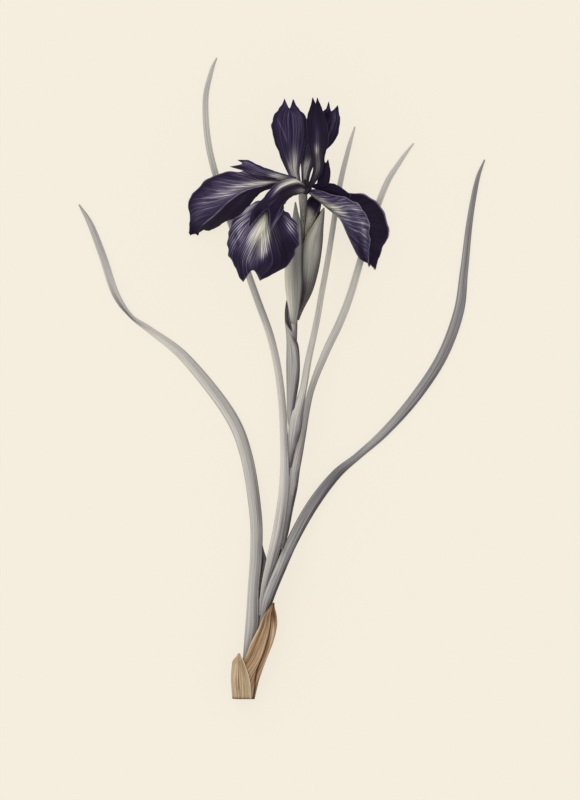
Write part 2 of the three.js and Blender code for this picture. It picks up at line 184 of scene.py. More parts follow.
def sheetPiece(name, surface, steps, thickness, masks, uvSize=None):
    # a grid is laid over the surface, given its masks, and thickened
    alongSteps, acrossSteps = steps
    bpy.ops.object.select_all(action="DESELECT")
    bpy.ops.mesh.primitive_grid_add(x_subdivisions=alongSteps, y_subdivisions=acrossSteps, size=1)
    piece = bpy.context.object
    piece.name = piece.data.name = name
    flat = vertexPlaces(piece)
    row = np.rint((flat[:, 0] + 0.5) * alongSteps).astype(int)
    column = np.rint((flat[:, 1] + 0.5) * acrossSteps).astype(int)
    u = np.linspace(0, 1, alongSteps + 1)
    v = np.linspace(0, 1, acrossSteps + 1)
    points = surface(u, v)
    placed = (points[row, column] + toFrame) * mm
    piece.data.vertices.foreach_set("co", placed.ravel())
    for mask, formula in masks.items():
        values = np.broadcast_to(formula(u[:, None], v[None, :]), (len(u), len(v)))
        paint(piece, mask, np.clip(values, 0, 1)[row, column])
    if uvSize is not None:  # a blade's map is in millimetres
        setChart(piece, np.stack([u[row] * uvSize[0], (v[column] - 0.5) * uvSize[1]], axis=1))
    piece.data.update()
    applyModifier(piece, "SOLIDIFY", thickness=thickness * mm, offset=0, use_even_offset=False)
    return piece


def rodPiece(name, stations, steps, masks, ribs=0, ribDepth=0):
    # a cylinder is cut into rings along its length and laid along its path
    alongSteps, sides = steps
    bpy.ops.object.select_all(action="DESELECT")
    bpy.ops.mesh.primitive_cylinder_add(vertices=sides, radius=1, depth=1)
    piece = bpy.context.object
    piece.name = piece.data.name = name
    for face in piece.data.polygons:
        face.select = False
    for edge in piece.data.edges:
        ends = [piece.data.vertices[k].co.z for k in edge.vertices]
        edge.select = abs(ends[0] - ends[1]) > 0.5
    for vertex in piece.data.vertices:
        vertex.select = True
    bpy.context.tool_settings.mesh_select_mode = (False, True, False)
    bpy.ops.object.mode_set(mode="EDIT")
    bpy.ops.mesh.subdivide(number_cuts=alongSteps - 1)
    bpy.ops.object.mode_set(mode="OBJECT")
    flat = vertexPlaces(piece)
    u = flat[:, 2] + 0.5
    angle = np.arctan2(flat[:, 1], flat[:, 0])
    values = along(stations, u)
    step = 1e-3
    after = along(stations, np.minimum(u + step, 1))[:, :3]
    before = along(stations, np.maximum(u - step, 0))[:, :3]
    ahead = unit(after - before)
    side = unit(np.cross(ahead, (0, 0, 1)))
    up = np.cross(side, ahead)
    radius = values[:, 3] * (1 - ribDepth * (0.5 + 0.5 * np.cos(ribs * angle)))
    spoke = side * np.cos(angle)[:, None] - up * np.sin(angle)[:, None]
    placed = (values[:, :3] + spoke * radius[:, None] + toFrame) * mm
    piece.data.vertices.foreach_set("co", placed.ravel())
    for mask, formula in masks.items():
        paint(piece, mask, np.clip(formula(u, angle), 0, 1))
    spine = along(stations, np.linspace(0, 1, 60))[:, :3]
    length = np.linalg.norm(np.diff(spine, axis=0), axis=1).sum()
    setChart(piece, np.stack([u * length, 2 * np.sin(angle) * values[:, 3]], axis=1))
    piece.data.update()
    return piece


# finishes

class Signal:  # a number that varies over the surface, with Python's own operators
    def __init__(self, finish, socket):
        self.finish = finish
        self.socket = socket

    def maths(self, operation, *others, clamp=False):
        sockets = [self.socket] + [o.socket if isinstance(o, Signal) else o for o in others]
        node = self.finish.node("ShaderNodeMath", {"operation": operation, "use_clamp": clamp}, sockets)
        return Signal(self.finish, node.outputs[0])

    def __add__(self, other):
        return self.maths("ADD", other)

    __radd__ = __add__

    def __mul__(self, other):
        return self.maths("MULTIPLY", other)

    __rmul__ = __mul__

    def __sub__(self, other):
        return self.maths("SUBTRACT", other)

    def __rsub__(self, other):
        return (self * -1) + other

    def __pow__(self, other):
        return self.maths("POWER", other)

    def step(self, low, high):  # 0 at low and 1 at high, smooth between
        node = self.finish.node("ShaderNodeMapRange", {"interpolation_type": "SMOOTHSTEP"}, {
            "Value": self.socket, "From Min": low, "From Max": high})
        return Signal(self.finish, node.outputs[0])


class Finish:
    def __init__(self, name, roughness=0.6, specular=0.3):
        self.material = bpy.data.materials.new(name)
        self.material.use_nodes = True
        self.tree = self.material.node_tree
        self.shader = self.tree.nodes["Principled BSDF"]
        self.shader.inputs["Roughness"].default_value = roughness
        self.shader.inputs["Specular IOR Level"].default_value = specular

    def node(self, kind, settings, sockets):
        made = self.tree.nodes.new(kind)
        for name, value in settings.items():
            setattr(made, name, value)
        pairs = sockets.items() if isinstance(sockets, dict) else enumerate(sockets)
        for key, value in pairs:
            if isinstance(value, Signal):
                value = value.socket
            if isinstance(value, bpy.types.NodeSocket):
                self.tree.links.new(value, made.inputs[key])
            else:
                made.inputs[key].default_value = value
        return made

    def mask(self, name):
        return Signal(self, self.node("ShaderNodeAttribute", {"attribute_name": name}, {}).outputs["Fac"])

    def chart(self):  # the piece's own map, along and across
        place = self.node("ShaderNodeTexCoord", {}, {})
        split = self.node("ShaderNodeSeparateXYZ", {}, [place.outputs["UV"]])
        return Signal(self, split.outputs[0]), Signal(self, split.outputs[1])

    def grain(self, x, y, detail, z):
        point = self.node("ShaderNodeCombineXYZ", {}, [x, y, z])
        noise = self.node("ShaderNodeTexNoise", {}, {
            "Vector": point.outputs[0], "Scale": 1.0, "Detail": detail})
        return Signal(self, noise.outputs["Fac"])

    def blend(self, first, second, factor):
        node = self.node("ShaderNodeMix", {"data_type": "RGBA"}, {"Factor": factor, 6: first, 7: second})
        return node.outputs[2]

    def ramp(self, value, colors):  # evenly spaced colours for values from 0 to 1
        color = colors[0]
        gaps = len(colors) - 1
        for k in range(gaps):
            color = self.blend(color, colors[k + 1], (value * gaps - k).maths("ADD", 0, clamp=True))
        return color

    def close(self, color, height, strength, distance):
        self.tree.links.new(color, self.shader.inputs["Base Color"])
        relief = self.node("ShaderNodeBump", {}, {
            "Height": height, "Strength": strength, "Distance": distance * mm})
        self.tree.links.new(relief.outputs[0], self.shader.inputs["Normal"])
        return self.material


def paintColor(red, green, blue):  # a colour as mixed on screen, 0 to 255, made linear
    channels = [c / 255 for c in (red, green, blue)]
    linear = [c / 12.92 if c <= 0.04045 else ((c + 0.055) / 1.055) ** 2.4 for c in channels]
    return (*linear, 1.0)


def petalFinish(name, look):
    finish = Finish(name, roughness=0.72, specular=0.12)
    u, v = finish.chart()
    side = (v - 0.5).step(-0.01, 0.01) * 3
    edge = (v - 0.5).maths("ABSOLUTE") * 2
    if look["reach"]:  # veins that fan from the midrib to the margin
        flow, run = u - (edge + 0.004) ** look["bend"] * look["reach"], edge * 1.3 + u * 0.7
    else:  # veins that run side by side
        flow, run = v, u * 1.5
    wander = finish.grain(u * 4, v * 4, 2.0, look["seed"] + 2) - 0.5
    ray = flow * look["veins"] + side + wander * look["wander"]
    streaks = finish.grain(ray * 0.9, run, 2.5, look["seed"])
    fine = finish.grain(ray * 3.1, run * 2.5, 2.0, look["seed"] + 4)
    soft = finish.grain(u * 5, v * 5, 3.0, look["seed"] + 6)
    vein = 1 - (ray.maths("FRACT") - 0.5).maths("ABSOLUTE").step(0.04, 0.22)
    vein = vein * streaks.step(0.3, 0.6) * edge.step(0.02, 0.2)
    thread = 1 - ((ray * 2.31 + fine).maths("FRACT") - 0.5).maths("ABSOLUTE").step(0.05, 0.3)
    vein = vein + thread * streaks.step(0.55, 0.35) * 0.6
    # tone is painted per piece: the petal's own light and dark, with painted shade on the pieces that are
    # shaded
    tone, sage, rim = finish.mask("tone"), finish.mask("sage"), finish.mask("rim")
    value = tone + (streaks - 0.5) * look["streak"] * (tone + 0.2) + (fine - 0.5) * (tone * 1.3 + 0.1)
    value = value + vein * look["vein"] * (tone * 1.1 + 0.03)
    value = value + (soft - 0.5) * 0.3 * (tone + 0.2) - look["vein"] * 0.12 * tone
    color = finish.ramp(value, look["violets"])
    color = finish.blend(color, finish.ramp(value, look["sages"]), sage)
    color = finish.blend(color, look["rimColor"], rim * look["rimStrength"])
    return finish.close(color, vein * 0.5 + streaks * 0.8 + fine * 0.3, 0.45, 0.5)


def bladeFinish(name, look):
    finish = Finish(name, roughness=0.62, specular=0.2)
    u, v = finish.chart()
    ribs = finish.grain(u * 0.012, v * look["ribCount"], 2.0, look["seed"])
    fine = finish.grain(u * 0.03, v * look["ribCount"] * 2.8, 2.0, look["seed"] + 4)
    patches = finish.grain(u * 0.06, v * 0.3, 3.0, look["seed"] + 8)
    # tone is painted per piece: the blade's own light and dark, with painted shade on the pieces that are
    # shaded
    tone, edge = finish.mask("tone"), finish.mask("rim")
    light = tone + (ribs - 0.5) * look["ribs"] + (fine - 0.5) * look["fine"]
    light = light + (patches - 0.5) * look["patches"]
    color = finish.ramp(light, look["colors"])
    color = finish.blend(color, look["stain"], patches.step(0.5, 0.75) * look["stainStrength"])
    color = finish.blend(color, look["rim"], edge * look["rimStrength"])
    return finish.close(color, ribs * 0.7 + fine * 0.4, 0.35, 0.3)


violet = {
    "seed": 1.0, "reach": 0.4, "bend": 0.55, "veins": 20.0, "vein": 0.55, "streak": 1.1, "wander": 0.9,
    "violets": [paintColor(20, 10, 31), paintColor(40, 29, 56), paintColor(80, 71, 97),
        paintColor(140, 132, 148), paintColor(206, 200, 202)],
    "sages": [paintColor(22, 19, 22), paintColor(70, 67, 64), paintColor(130, 127, 118),
        paintColor(188, 184, 172), paintColor(240, 234, 212)],
    "rimColor": paintColor(140, 128, 148), "rimStrength": 0.2,
}
leafLook = {
    "seed": 1.0, "ribs": 0.75, "fine": 0.7, "patches": 0.3, "stainStrength": 0.35, "ribCount": 1.3,
    "colors": [paintColor(58, 52, 56), paintColor(106, 100, 102), paintColor(150, 145, 142),
        paintColor(184, 179, 172), paintColor(216, 210, 199)],
    "stain": paintColor(158, 150, 162), "rim": paintColor(90, 82, 84), "rimStrength": 0.35,
}

# the stem and what it carries inside the spathe

stemStations = [
    (-22.6, -192, 6.4, 3.0), (-19.2, -168.6, 6.6, 3.0), (-14.4, -144.6, 7.8, 2.9),
    (-8.4, -123.6, 10.2, 2.8), (-3, -102.6, 12.5, 2.7), (1.2, -81.6, 15, 2.5), (3.6, -60.6, 17.8, 2.3),
    (5.4, -36.6, 21, 2.2), (6.6, -12.6, 23.6, 2.1), (6.9, 11.4, 26, 1.9), (7.8, 40, 28.8, 1.7),
]
stemFinish = bladeFinish("stemSkin", {**leafLook, "seed": 3.0})
stem = rodPiece("stem_round", stemStations, (220, 40), {
    # painted shade: the stem darkens towards its right-hand side and is lightest on its left
    "tone": lambda u, a: 0.5 - 0.5 * np.cos(a),
    "rim": lambda u, a: u * 0,
}, ribs=14, ribDepth=0.03)
finishPiece(stem, stemFinish, ["stem"])

spatheLook = {
    **leafLook, "seed": 5.0, "ribs": 0.45, "fine": 0.8, "patches": 0.4, "ribCount": 1.9, "stainStrength": 0.0,
    "colors": [paintColor(48, 41, 42), paintColor(92, 86, 84), paintColor(142, 139, 132),
        paintColor(188, 183, 170), paintColor(226, 218, 200)],
    "rim": paintColor(200, 190, 146), "rimStrength": 0.8,
}
spatheFinish = bladeFinish("spatheSkin", spatheLook)
paleLook = {**spatheLook, "seed": 8.0}
paleFinish = bladeFinish("paleFlesh", paleLook)
rods = {
    "ovary_ribbed": {"nodes": ["ovary"], "ribs": 3, "depth": 0.12, "finish": spatheFinish, "slot": "spathe",
        "stations": [
            (8, 40.6, 28.9, 1.2), (8.8, 47, 29.5, 2.4), (10.2, 58, 30.4, 2.6), (11.2, 68, 31.2, 1.5)]},
    "perianth_tube_smooth": {"nodes": ["perianth_tube"], "ribs": 6, "depth": 0.08, "finish": paleFinish,
        "slot": "pale",
        "stations": [
            (11.3, 68.6, 31.2, 1.2), (12.6, 88, 32.8, 1.7), (12.8, 100, 34.1, 2.2), (12.6, 109, 34.9, 2.9),
            (12.7, 114.6, 36.2, 2.4), (12.8, 117.4, 36.8, 0.9)]},
    "second_bud_stalk": {"nodes": ["second_bud_tube"], "ribs": 6, "depth": 0.06, "finish": paleFinish,
        "slot": "pale",
        "stations": [(14.6, 70, 31.6, 1.0), (16.0, 80, 33, 1.6), (17.3, 90, 33.8, 1.8)]},
    "style_column_round": {"nodes": ["style_column"], "ribs": 3, "depth": 0.2, "finish": paleFinish,
        "slot": "pale",
        "stations": [(13.6, 114.2, 36.6, 0.9), (13.3, 115.2, 38.2, 1.1), (12.9, 116.2, 40.2, 0.9)]},
}
for rodName, rod in rods.items():
    made = rodPiece(rodName, rod["stations"], (60, 30), {
        # painted shade: each rod is darker on its right-hand side and lighter on its left
        "tone": lambda u, a: 0.45 - 0.3 * np.cos(a) + 0 * u,
        "rim": lambda u, a: u * 0,
    }, rod["ribs"], rod["depth"])
    finishPiece(made, rod["finish"], rod["nodes"])
print("stem and inner rods done")

# the long leaves

# tones set each leaf's lightness along its length: its own colour, with painted shade where it runs behind
# other pieces; sides set painted shade across it, one margin lit and the other shaded
leaves = {
    "leaf_far_left": {"seed": 11.0,
        "tones": (0.42, 0.68, 0.74, 0.70, 0.74, 0.82, 0.93, 0.50, 0.80, 0.74, 0.70),
        "sides": (0.1, 0.2, 0.25, 0.25, 0.22, 0.15, 0.1, -0.3, 0.0, 0.1, 0.1), "stations": [
        (-21.6, -170, 10.6, 5.0, 24, 1.6), (-18.4, -150, 12.0, 7.4, 10, 1.8),
        (-17.4, -128, 11.0, 6.6, 12, 1.2), (-15.5, -104, 8.4, 7.0, 8, 0.8), (-16, -80, 5.6, 7.2, 6, 0.6),
        (-21.5, -46, 3.0, 7.2, 4, 0.5), (-32.4, -19.8, 1.6, 7.2, 2, 0.5), (-58.2, 12.6, 1.0, 6, 0, 0.4),
        (-79.2, 29.4, 1.2, 3.8, 12, 0.3), (-90.6, 37.8, 1.6, 3.0, 35, 0.2),
        (-100.2, 51.6, 1.6, 4.4, 18, 0.2), (-108, 74.4, 1.4, 4.2, 0, 0.3), (-115.2, 93, 1.4, 3.2, 0, 0.2),
        (-122.1, 105, 1.6, 0.25, 0, 0.1)]},
    "leaf_far_right": {"seed": 14.0, "look": {"stain": paintColor(122, 122, 138), "stainStrength": 0.75},
        "tones": (0.10, 0.26, 0.48, 0.46, 0.34, 0.58, 0.46, 0.47, 0.49, 0.49, 0.6),
        "sides": (0.4, 0.6, 0.45, 0.25, 0.15, 0.2, 0.2, 0.1, 0.1, 0.1, 0.1), "stations": [
        (-12.6, -152, 12.4, 3.2, -14, 1.0), (-10.6, -144, 14.6, 4.8, -14, 1.4),
        (-8.2, -132.6, 16.6, 6.5, -18, 1.8), (-1.2, -114.6, 17.2, 6.6, -20, 1.4),
        (6.7, -96.6, 11.8, 6.8, -14, 1.2), (18.6, -75.3, 6.2, 6.8, -8, 1.0),
        (32.4, -57.6, 3.0, 5.8, -10, 0.6), (45.6, -46.2, 1.8, 4.6, -24, 0.2),
        (61.8, -31.8, 1.4, 5.4, -6, -0.3), (79.8, -11.4, 1.0, 6.3, 0, -0.4), (96, 13.2, 1.0, 6.5, 0, -0.4),
        (106.2, 40.2, 1.0, 6.3, 0, -0.4), (109.5, 65.4, 1.1, 4.9, 0, -0.3),
        (112.8, 94.2, 1.2, 3.7, 0, -0.2), (117.3, 119.4, 1.4, 2.5, 0, -0.1),
        (121.8, 132, 1.6, 0.25, 0, 0)]},
    "leaf_inner_left": {"seed": 17.0,
        "tones": (0.52, 0.60, 0.70, 0.90, 0.94, 0.92, 0.72, 0.80, 0.87, 0.82, 0.82),
        "sides": (0.2, 0.3, 0.35, 0.3, 0.25, 0.15, 0.15, 0.1, 0.1, 0.1, 0.1), "stations": [
        (-12.4, -142, 12.8, 2.4, 6, 0.6), (-10.5, -126.6, 14.8, 4.2, 8, 1.0),
        (-6.6, -109.8, 16.6, 6.0, 8, 1.4), (-1.8, -89.4, 19.4, 6.6, 8, 1.6),
        (0.9, -66.6, 22.2, 5.8, 14, 1.4), (1.2, -42.6, 22.6, 5.0, 30, 1.0),
        (0.3, -18.6, 18.4, 4.4, 18, 0.7), (-2.4, 5.4, 13.6, 4.1, 8, 0.5), (-7.2, 26.4, 9.0, 4, 4, 0.5),
        (-14.7, 47.4, 4.6, 3.8, 0, 0.4), (-25.2, 77.4, 1.4, 3.6, 0, 0.3), (-36, 110, 1.0, 3.6, 0, 0.3),
        (-44.1, 140.4, 1.0, 3.4, 0, 0.3), (-46, 167.4, 1.2, 3, 0, 0.2), (-42.6, 184.8, 1.4, 2.1, 0, 0.1),
        (-39.3, 193.2, 1.6, 0.25, 0, 0)]},
    "leaf_inner_right_low": {"seed": 20.0,
        "tones": (0.15, 0.16, 0.36, 0.56, 0.68, 0.80, 0.90, 0.98, 0.98, 0.96, 0.94),
        "sides": (0.2, 0.45, 0.5, 0.45, 0.3, 0.15, 0.1, 0.1, 0.1, 0.1, 0.1), "stations": [
        (0.2, -101.5, 15.8, 1.8, -50, 0.3), (2.2, -92.4, 16.2, 4.4, -46, 0.6),
        (4.6, -76, 17.6, 6.8, -40, 1.0), (6.6, -63.6, 18.6, 7.2, -34, 1.2), (8.8, -50, 19.6, 6.4, -30, 1.0),
        (12.2, -33.6, 18.2, 4.4, -22, 0.6), (17.4, -7, 14.6, 3.5, -12, 0.5), (25.8, 15, 10.4, 4.3, -6, 0.4),
        (34.8, 34.2, 6.6, 4.4, -2, 0.4), (42, 53.4, 3.2, 4.1, 0, 0.4), (51.6, 86.4, 1.2, 3.5, 0, 0.3),
        (62.1, 115.8, 1.0, 3.2, 0, 0.3), (71.4, 131.4, 1.2, 2.3, 0, 0.2), (79.2, 141.9, 1.4, 0.25, 0, 0)]},
    "leaf_inner_right_high": {"seed": 23.0,
        "tones": (0.1, 0.42, 0.66, 0.84, 0.96, 1.0, 1.0, 1.0, 0.98, 0.96, 0.94),
        "sides": (0.2, 0.35, 0.45, 0.45, 0.3, 0.2, 0.1, 0.1, 0.1, 0.1, 0.1), "stations": [
        (4.8, -53, 21.6, 1.8, -40, 0.2), (6.0, -42, 23.4, 5.0, -34, 0.6), (8.0, -30, 25.0, 8.0, -26, 1.2),
        (10.2, -17.4, 25.0, 6.8, -28, 1.0), (12.9, -6, 23.6, 4.6, -28, 0.7),
        (15.6, 10.2, 20.0, 3.9, -20, 0.5), (20.4, 32.4, 14.0, 3.3, -8, 0.4), (24, 52.2, 9.0, 3.1, -4, 0.3),
        (28.5, 77.4, 3.6, 2.9, 0, 0.3), (34.5, 115.2, 1.0, 2.8, 0, 0.3), (40.2, 139.2, 1.2, 2.1, 0, 0.2),
        (43.8, 151.8, 1.4, 0.25, 0, 0)]},
}
leafForm = {
    "steps": (240, 28), "thickness": 0.7, "map": (260, 7),
    "ripple": 0.10, "rippleTurns": 46, "ribHeight": 0.05, "ribCount": 7,
}
for leafName, leaf in leaves.items():
    def leafSurface(u, v, leaf=leaf):
        points = bladeSurface(leaf["stations"], u, v)
        normal = surfaceNormals(points)
        ripple = leafForm["ripple"] * np.sin(u[:, None] * leafForm["rippleTurns"] + leaf["seed"])
        ripple = ripple * (2 * v[None, :] - 1)
        ribs = leafForm["ribHeight"] * np.cos(v[None, :] * 2 * math.pi * leafForm["ribCount"])
        return points + normal * (ripple + ribs)[..., None]

    # painted shade across the leaf from one margin to the other, and along its midline crease
    def leafTone(u, v, leaf=leaf):
        lengthwise = along(leaf["tones"], u.ravel())[:, None]
        sideShade = along(leaf["sides"], u.ravel())[:, None]
        return lengthwise - sideShade * (rise(v, 0.35, 0.95) * 1.6 - 0.4) - 0.10 * bump(v, 0.5, 0.06)

    piece = sheetPiece(leafName + "_veined", leafSurface, leafForm["steps"], leafForm["thickness"], {
        "tone": leafTone,
        "rim": lambda u, v: rise(np.abs(v - 0.5), 0.455, 0.49) + 0 * u,
    }, leafForm["map"])
    look = {**leafLook, **leaf.get("look", {}), "seed": leaf["seed"]}
    finishPiece(piece, bladeFinish(leafName + "Skin", look), [leafName])

channels = {  # the inner side of the two outer leaves, where they fold round the stem, painted near black as shade
    "leaf_far_left": [
        [(-17.0, -146, 9.4), (-14.6, -146, 9.6), (-12.0, -146, 10.4)],
        [(-16.4, -136, 8.8), (-14.4, -136, 8.8), (-11.6, -136, 10.0)],
        [(-15.8, -126, 8.4), (-14.2, -126, 8.4), (-12.0, -126, 9.6)],
        [(-14.6, -117, 7.6), (-13, -117, 7.4), (-10.8, -117, 9.0)],
        [(-14.2, -109, 7.0), (-12, -109, 6.8), (-9.4, -109, 8.6)],
        [(-13.6, -103, 6.6), (-12.4, -103, 6.4), (-11, -103, 7.4)],
        [(-12.9, -97.4, 6.6), (-12.6, -97.3, 6.6), (-12.3, -97.4, 6.7)]],
    "leaf_far_right": [
        [(-7.6, -122, 14.6), (-6.2, -122.4, 14.6), (-4.8, -122.8, 15.0)],
        [(-4.8, -114.6, 14.6), (-3.0, -115.2, 14.4), (-1.0, -115.8, 15.2)],
        [(-2.3, -107.6, 13.2), (-0.2, -108.4, 12.8), (2.0, -109, 13.6)],
        [(1.2, -99.6, 11.4), (3.4, -100.2, 10.8), (5.8, -101, 10.6)],
        [(6.6, -89.4, 9.6), (7.4, -90.2, 9.2), (8.2, -91, 9.0)]],
}
insideShadeFinish = bladeFinish("leafInsideShadeSkin", {**leafLook, "seed": 28.0, "rimStrength": 0.0})
channelForm = {"steps": (60, 12), "thickness": 0.5, "map": (40, 4)}
for leafName, rows in channels.items():
    def channelSurface(u, v, rows=rows):
        return webSurface(rows, u, v, 0)

    piece = sheetPiece(leafName + "_inner", channelSurface, channelForm["steps"], channelForm["thickness"], {
        # painted shade: nearly black, a little lighter towards one margin
        "tone": lambda u, v: 0.02 + 0.2 * rise(v, 0.5, 1) + 0 * u,
        "rim": lambda u, v: 0 * u * v,
    }, channelForm["map"])
    finishPiece(piece, insideShadeFinish, [leafName])
print("leaves done")

# the sheathing leaf below the spathe

upperSheath = {
    "stations": [
        (5.8, -29, 22.0, 2.9, 3.2, -34, 6), (6.2, -20, 23.0, 3.1, 3.2, -80, 15),
        (6.6, -8, 24.2, 3.6, 3.2, -95, 45), (6.6, 8, 25.8, 3.9, 3.1, -100, 90),
        (6.5, 18, 26.8, 3.6, 3.1, -100, 75), (6.3, 23.4, 27.4, 3.4, 3.1, -100, 42),
        (5.8, 29, 28.0, 3.3, 3.0, -100, -10), (5.2, 35, 28.6, 3.4, 2.6, -94, -80)],
    "inside": [
        [(2.6, 24, 25.4), (4.0, 24, 25.6), (6.4, 24, 25.8)],
        [(2.2, 30, 26.4), (3.8, 30, 26.6), (6.0, 30, 26.8)],
        [(1.7, 35, 27.6), (3.2, 35, 27.8), (5.2, 35, 27.8)],
        [(1.7, 40.4, 28.4), (2.9, 40.4, 28.8), (4.2, 40.4, 28.8)],
        [(2.1, 44, 29.2), (2.8, 44, 29.4), (3.6, 44, 29.2)],
        [(2.6, 47.3, 30.0), (2.7, 47.4, 30.0), (2.8, 47.3, 30.0)]],
    "steps": (120, 40), "thickness": 0.6, "map": (78, 10),
    "insideSteps": (60, 14), "insideThickness": 0.4, "insideMap": (24, 3),
}


def upperSurface(u, v):
    return claspSurface(upperSheath["stations"], u, v)


def upperInside(u, v):
    return webSurface(upperSheath["inside"], u, v, 0)


piece = sheetPiece("upper_stem_sheath_veined", upperSurface, upperSheath["steps"], upperSheath["thickness"], {
    # painted shade along the sheath's right-hand flank, fading out near its top
    "tone": lambda u, v: 0.60 - 0.5 * rise(v, 0.6, 0.95) * (1 - rise(u, 0.7, 0.85)) + 0 * u,
    "rim": lambda u, v: rise(np.abs(v - 0.5), 0.46, 0.49),
}, upperSheath["map"])
finishPiece(piece, bladeFinish("upperSheathSkin", {**leafLook, "seed": 26.0}), ["upper_stem_sheath"])
piece = sheetPiece("upper_stem_sheath_inner", upperInside, upperSheath["insideSteps"],
                   upperSheath["insideThickness"], {
    # painted shade: the inside of the sheath is nearly black
    "tone": lambda u, v: 0.05 + 0.15 * rise(v, 0.6, 1.0) + 0 * u,
    "rim": lambda u, v: rise(np.abs(v - 0.5), 0.44, 0.48) + 0 * u,
}, upperSheath["insideMap"])
finishPiece(piece, insideShadeFinish, ["upper_stem_sheath"])

# the two spathe valves

spathe = {
    "spathe_valve_left": {
        # painted shade along the left valve's top margin, where the right valve's edge lies over it
        "tone": spots(0.56, [(0.35, 0.42, 0.28, 0.13, 0.42), (0.4, 0.0, 0.6, 0.05, -0.5),
            (0.75, 0.2, 0.2, 0.2, -0.12), (0.45, 0.16, 0.3, 0.07, -0.14), (1.0, 0.3, 0.15, 0.5, -0.12),
            (0.0, 0.5, 0.1, 0.6, -0.15)]),
        "rim": lambda u, v: 0 * u * v,
        "rows": [
            [(8.8, 33.2, 30.4), (7.5, 33.2, 30.3), (5.7, 33.2, 28.5), (6.6, 33.2, 26.8), (7.8, 33.2, 26.6)],
            [(9.4, 37, 31.8), (6.9, 37, 31.2), (5.0, 37, 28.6), (6.5, 37, 26.0), (8.2, 37, 25.5)],
            [(10.6, 42, 34.0), (6.8, 42, 33.6), (4.3, 42, 29.6), (6.2, 42, 25.6), (9.4, 42, 24.6)],
            [(12.2, 53, 37.2), (6.6, 53, 36.6), (2.4, 53, 30.6), (5.6, 53, 25.2), (11.6, 53, 24.2)],
            [(12.4, 66, 38.6), (6.4, 66, 38.0), (2.0, 66, 31.6), (5.6, 66, 26.2), (12.4, 66, 24.8)],
            [(12.4, 80, 38.8), (7.6, 80, 38.2), (3.8, 80, 33.0), (6.8, 80, 28.0), (12.4, 80, 26.8)],
            [(11.6, 92, 38.8), (8.8, 92, 38.9), (5.9, 92, 35.0), (7.0, 92, 31.6), (9.6, 92, 30.0)],
            [(9.4, 101, 38.4), (8.6, 101.2, 38.6), (7.3, 101.2, 36.6), (7.8, 101, 34.4), (9.0, 100.8, 34.0)],
            [(8.2, 105.9, 37.6), (8.1, 106, 37.6), (8.0, 106, 37.4), (8.05, 106, 37.2),
             (8.15, 105.9, 37.2)]]},
    "spathe_valve_right": {
        # painted shade: the right valve is near black on its rounded flank and lit along its top
        "tone": spots(0.04, [(0.62, 0.14, 0.42, 0.22, 0.64), (0.26, 0.10, 0.12, 0.16, -0.36),
            (0.55, 0.34, 0.12, 0.08, 0.12), (0.45, 0.0, 0.35, 0.04, -0.4)]),
        "rim": lambda u, v: rise(0.03 - v, -0.012, 0.012) * rise(u, 0.55, 0.7),
        "rows": [
            [(8.4, 35.4, 31.0), (9.4, 35.4, 30.6), (9.9, 35.4, 28.7), (9.4, 35.4, 26.4), (8.6, 35.4, 25.4)],
            [(10.2, 42, 32.4), (11.6, 42, 32.0), (12.7, 42, 29.6), (11.8, 42, 26.0), (10.0, 42, 24.6)],
            [(11.4, 53, 35.8), (15.6, 53, 35.2), (18.2, 53, 30.6), (16.4, 53, 25.6), (12.8, 53, 24.2)],
            [(11.6, 66, 37.2), (18.2, 66, 36.8), (21.8, 66, 31.6), (19.4, 66, 26.4), (13.6, 66, 24.8)],
            [(12.4, 80, 37.6), (19.6, 80, 37.4), (23.9, 80, 33.0), (21.0, 80, 28.2), (13.6, 80, 26.8)],
            [(18.4, 92, 39.4), (22.4, 92, 38.6), (24.7, 92, 34.8), (22.6, 92, 30.8), (17.0, 92, 29.4)],
            [(23.0, 99, 38.6), (24.2, 99, 38.2), (25.2, 99, 36.0), (24.4, 99, 33.6), (22.0, 99, 33.0)],
            [(25.0, 102.6, 36.8), (25.1, 102.7, 36.7), (25.2, 102.7, 36.6), (25.15, 102.7, 36.4),
             (25.05, 102.6, 36.3)]]},
}
valveForm = {"steps": (130, 90), "thickness": 0.6, "map": (70, 30), "ribHeight": 0.06, "ribCount": 16}
for valveName, valve in spathe.items():
    def valveSurface(u, v, valve=valve):
        points = webSurface(valve["rows"], u, v, 0)
        ribs = valveForm["ribHeight"] * np.cos(v[None, :] * 2 * math.pi * valveForm["ribCount"])
        return points + surfaceNormals(points) * ribs[..., None]

    piece = sheetPiece(valveName + "_veined", valveSurface, valveForm["steps"], valveForm["thickness"], {
        "tone": valve["tone"], "rim": valve["rim"]}, valveForm["map"])
    finishPiece(piece, spatheFinish, [valveName])

# the dry basal sheaths

def brownSeam(u):  # where the large sheath is folded, as a share of its width
    return 0.46 + 0.22 * (1 - rise(u, 0, 0.36))


